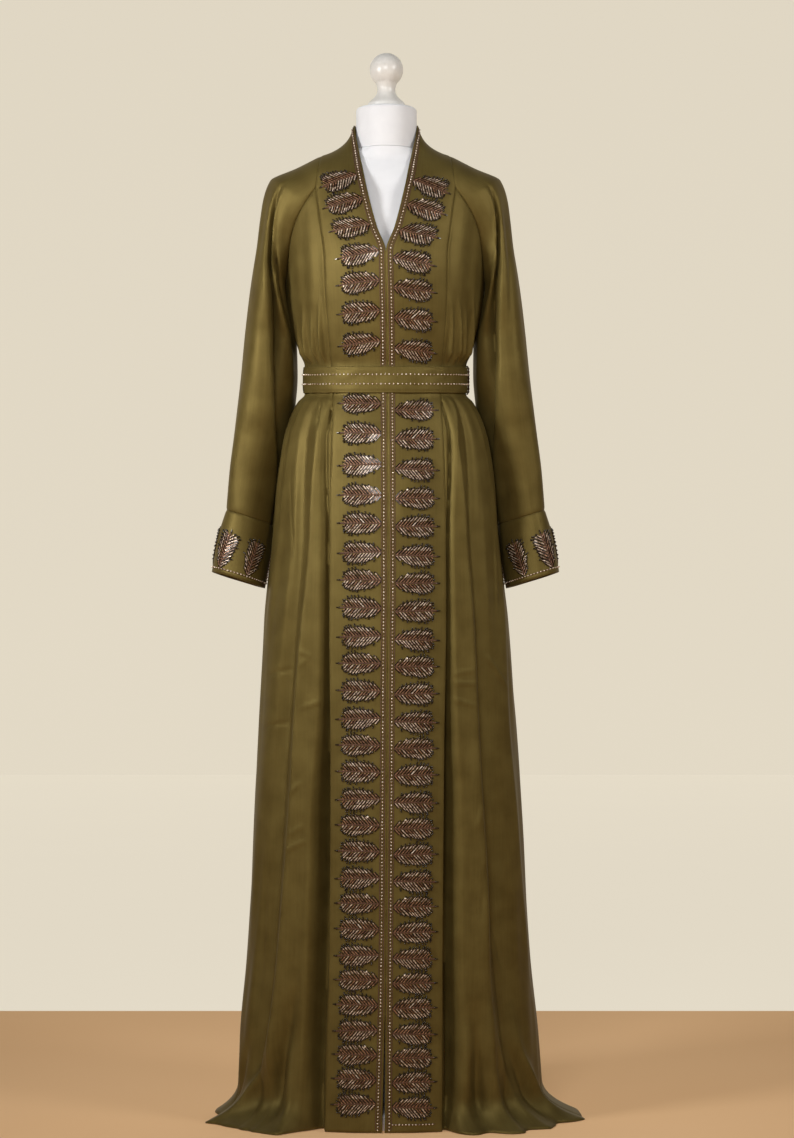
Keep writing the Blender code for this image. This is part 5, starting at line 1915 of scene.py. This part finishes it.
@dataclass(frozen=True)
class LeafSpacing:
    """Where the leaves of a front band are rooted, in metres up the band from the hem.

    The pitch grows from the hem to the belt, most of all in the last three, and shrinks again over the chest.
    """

    start: float
    late_growth: float
    chest_start: float
    skirt_leaves: int = 27
    last_even_leaf: int = 23
    chest_leaves: int = 7
    pitch: float = 0.0361
    growth: float = 0.000155
    chest_pitch: float = 0.0465
    chest_shrink: float = 0.0004

    def places(self) -> list[float]:
        """Gives the roots, from the hem up.

        Returns:
            Metres up the band.
        """
        skirt = [self.start + self.pitch * i + self.growth * i * i
                 + self.late_growth * max(0, i - self.last_even_leaf) for i in range(self.skirt_leaves)]
        chest = [self.chest_start + self.chest_pitch * i - self.chest_shrink * i * i
                 for i in range(self.chest_leaves)]
        return skirt + chest


LEAF_SPACINGS = {Side.LEFT: LeafSpacing(0.043, 0.0034, 1.194), Side.RIGHT: LeafSpacing(0.0379, 0.0014, 1.183)}


@dataclass
class DressForm:
    """The padded torso with its neck cap and turned finial, and the stand under it."""

    room: Workroom
    segments: int = 96
    gap: float = 0.0003
    neck_radius: float = 0.0471
    neck_seam: float = 1.4970
    cap_top: float = 1.5628
    cap_round: float = 0.0060
    pole_radius: float = 0.0125
    base_radius: float = 0.122
    base_height: float = 0.026
    base_round: float = 0.006
    torso_foot: float = 0.800
    ball_radius: float = 0.0262
    ball_middle: float = 1.6225
    torso: SizeTable = SizeTable(("height", "side", "front", "back"), (
        (0.8, 0.138, 0.098, 0.102), (0.815, 0.147, 0.105, 0.11), (0.86, 0.155, 0.11, 0.115),
        (0.93, 0.156, 0.111, 0.114), (1, 0.148, 0.106, 0.106), (1.06, 0.132, 0.096, 0.094),
        (1.1, 0.117, 0.088, 0.085), (1.14, 0.111, 0.085, 0.082), (1.18, 0.116, 0.091, 0.084),
        (1.24, 0.134, 0.106, 0.09), (1.29, 0.143, 0.112, 0.094), (1.34, 0.147, 0.108, 0.095),
        (1.38, 0.151, 0.099, 0.091), (1.42, 0.149, 0.082, 0.08), (1.445, 0.139, 0.07, 0.071),
        (1.465, 0.111, 0.059, 0.062), (1.48, 0.078, 0.049, 0.052), (1.497, 0.0471, 0.0471, 0.0471),
    ))
    # Turned foot of the finial: height above the neck cap, and radius. The ball stands on it.
    finial: tuple[tuple[float, float], ...] = (
        (0, 0.0255), (0.002, 0.0285), (0.005, 0.0291), (0.0085, 0.027), (0.0135, 0.0215),
        (0.019, 0.0168), (0.025, 0.0143), (0.029, 0.014), (0.033, 0.0148),
    )

    def build(self) -> None:
        """Builds the form and the stand."""
        self.build_torso()
        self.build_cap()
        self.build_finial()
        self.build_stand()

    def spun(self, profile: Sequence[tuple[float, float]]) -> bmesh.types.BMesh:
        """Spins a profile into a closed body.

        Args:
            profile: Heights and radii. The ends are closed on the axis.

        Returns:
            The bmesh.
        """
        mesh = bmesh.new()
        line = [(profile[0][0], 0.0), *profile, (profile[-1][0], 0.0)]
        verts = [mesh.verts.new((radius, 0.0, height)) for height, radius in line]
        edges = [mesh.edges.new(pair) for pair in zip(verts, verts[1:])]
        bmesh.ops.spin(mesh, geom=verts + edges, cent=(0, 0, 0), axis=(0, 0, 1), angle=2 * math.pi,
                       steps=self.segments, use_merge=True)
        bmesh.ops.remove_doubles(mesh, verts=mesh.verts, dist=1e-5)
        bmesh.ops.recalc_face_normals(mesh, faces=mesh.faces)
        return mesh

    def rounded_rim(self, top: float, radius: float, rounding: float,
                    steps: int = 6) -> list[tuple[float, float]]:
        """Gives heights and radii of a quarter-round rim below a flat top.

        Args:
            top: The flat top's height.
            radius: The body's radius.
            rounding: The rim's rounding.
            steps: How many steps it has.

        Returns:
            Heights and radii.
        """
        turns = [math.pi / 2 * i / steps for i in range(steps + 1)]
        return [(top - rounding * (1 - math.sin(t)), radius - rounding * (1 - math.cos(t))) for t in turns]

    def build_torso(self) -> None:
        """Builds the padded torso from its sections."""
        heights = np.linspace(self.torso_foot, self.neck_seam, 110)
        mesh = self.spun([(float(z), 1.0) for z in heights])
        for vert in mesh.verts:
            x, y, z = vert.co
            reach = math.hypot(x, y)
            depth = self.torso.read("front" if y < 0 else "back", z)
            vert.co = (x * float(self.torso.read("side", z)), y * float(depth), z) if reach > 0 else vert.co
        self.room.place("padded_torso", mesh, [CottonJersey()], "jersey", ["form_torso"])

    def build_cap(self) -> None:
        """Builds the neck cap, with the welt at its foot."""
        low = self.neck_seam + self.gap
        welt = [(low, self.neck_radius - 0.0012), (low + 0.0006, self.neck_radius - 0.0002),
                (low + 0.0016, self.neck_radius), (low + 0.0026, self.neck_radius - 0.0004)]
        profile = welt + [(low + 0.0034, self.neck_radius - 0.0001)]
        profile += self.rounded_rim(self.cap_top, self.neck_radius, self.cap_round)
        self.room.place("neck_cap", self.spun(profile), [CottonJersey()], "jersey", ["form_neck_cap"])

    def build_finial(self) -> None:
        """Builds the turned finial."""
        foot = SizeTable(("height", "radius"), self.finial)
        heights = np.linspace(0, self.finial[-1][0], 40)
        lower = [(self.cap_top + self.gap + float(h), float(foot.read("radius", h))) for h in heights]
        start = math.asin(self.finial[-1][1] / self.ball_radius)
        turns = np.linspace(start, math.pi, 30)[1:-1]
        ball = [(self.ball_middle - self.ball_radius * math.cos(t), self.ball_radius * math.sin(t))
                for t in turns]
        self.room.place("turned_finial", self.spun(lower + ball), [PaintedBeech()], "painted_wood",
                        ["form_finial"])

    def build_stand(self) -> None:
        """Builds the pole and the round base."""
        coat = PowderCoat()
        pole = [(self.base_height + self.gap, self.pole_radius),
                (self.torso_foot - self.gap, self.pole_radius)]
        self.room.place("steel_pole", self.spun(pole), [coat], "stand_metal", ["stand_pole"])
        base = [(0.0, self.base_radius - 0.001), (0.001, self.base_radius)]
        base += self.rounded_rim(self.base_height, self.base_radius, self.base_round)
        self.room.place("round_base", self.spun(base), [coat], "stand_metal", ["stand_base"])


@dataclass
class Studio:
    """The plain wall and floor, the soft lights and the camera at the photograph's view."""

    room: Workroom
    wall_y: float = 9.0
    paper_y: float = 1.137
    sheet_reach: float = 12.0
    camera_place: tuple[float, float, float] = (0.0165, -4.3, 0.78)
    camera_tilt: float = 90.888
    lens_mm: float = 87.75

    def build(self) -> None:
        """Builds the studio."""
        floor = StudioPaper("studio_floor", "d9b285", "e0bc92", 0.31, "cfa070")
        paper = StudioPaper(glow=0.86)
        self.add_sheet("studio_floor", (0.0, self.paper_y - self.sheet_reach, 0.0), 0.0, floor)
        self.add_sheet("studio_paper_foot", (0.0, self.paper_y + self.sheet_reach, 0.0), 0.0, paper)
        self.add_sheet("studio_wall", (0.0, self.wall_y, 0.0), 90.0, paper)
        self.add_light("key", (-1.50, -1.20, 1.60), (-0.05, 0.0, 1.10), 0.5, 5.7, "ffffff", 75.0)
        self.add_light("fill", (1.7, -1.3, 2.0), (0.0, 0.0, 1.20), 0.7, 4.2, "fffdfa", 80.0)
        self.add_light("front", (-0.4, -3.7, 2.0), (0.0, 0.0, 0.7), 0.9, 52.0, "ffffff")
        world = bpy.data.worlds.new("studio_air")
        world.use_nodes = True
        back = world.node_tree.nodes["Background"]
        back.inputs["Color"].default_value = linear("f8f8f8")
        back.inputs["Strength"].default_value = 0.10
        bpy.context.scene.world = world
        bpy.context.scene.view_settings.view_transform = "Standard"
        self.add_camera()

    def add_sheet(self, name: str, place: tuple[float, float, float], tilt: float, finish: Finish) -> None:
        """Adds a large plain sheet.

        Args:
            name: Its name.
            place: Its middle.
            tilt: How far it is tipped up about the X axis, in degrees.
            finish: Its finish.
        """
        mesh = bmesh.new()
        turn = Matrix.Translation(place) @ Matrix.Rotation(math.radians(tilt), 4, "X")
        bmesh.ops.create_grid(mesh, x_segments=1, y_segments=1, size=self.sheet_reach, matrix=turn)
        data = bpy.data.meshes.new(name)
        mesh.to_mesh(data)
        mesh.free()
        data.materials.append(self.room.dye(finish))
        item = bpy.data.objects.new(name, data)
        bpy.context.scene.collection.objects.link(item)

    def add_light(self, name: str, place: tuple[float, float, float], target: tuple[float, float, float],
                  size: float, watts: float, colour: str, spread: float = 180.0) -> None:
        """Adds a square soft light.

        Args:
            name: Its name.
            place: Where it stands.
            target: What it faces.
            size: Its side.
            watts: Its power.
            colour: Its colour, as sRGB hex.
            spread: How wide its beam is, in degrees.
        """
        lamp = bpy.data.lights.new(name, "AREA")
        lamp.size, lamp.energy, lamp.color = size, watts, linear(colour)[:3]
        lamp.spread = math.radians(spread)
        item = bpy.data.objects.new(name, lamp)
        item.location = place
        item.rotation_euler = (Vector(target) - Vector(place)).to_track_quat("-Z", "Y").to_euler()
        bpy.context.scene.collection.objects.link(item)

    def add_camera(self) -> None:
        """Adds the camera at the photograph's view."""
        camera = bpy.data.cameras.new("camera")
        camera.lens, camera.sensor_width = self.lens_mm, 36.0
        item = bpy.data.objects.new("camera", camera)
        item.location = self.camera_place
        item.rotation_euler = (math.radians(self.camera_tilt), 0.0, 0.0)
        bpy.context.scene.collection.objects.link(item)
        bpy.context.scene.camera = item


def main() -> None:
    """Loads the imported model, and dresses it piece by piece."""
    logging.basicConfig(level=logging.INFO, format="%(message)s")
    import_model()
    room = Workroom()
    Studio(room).build()
    DressForm(room).build()
    Abaya(room).build()


if __name__ == "__main__":
    main()
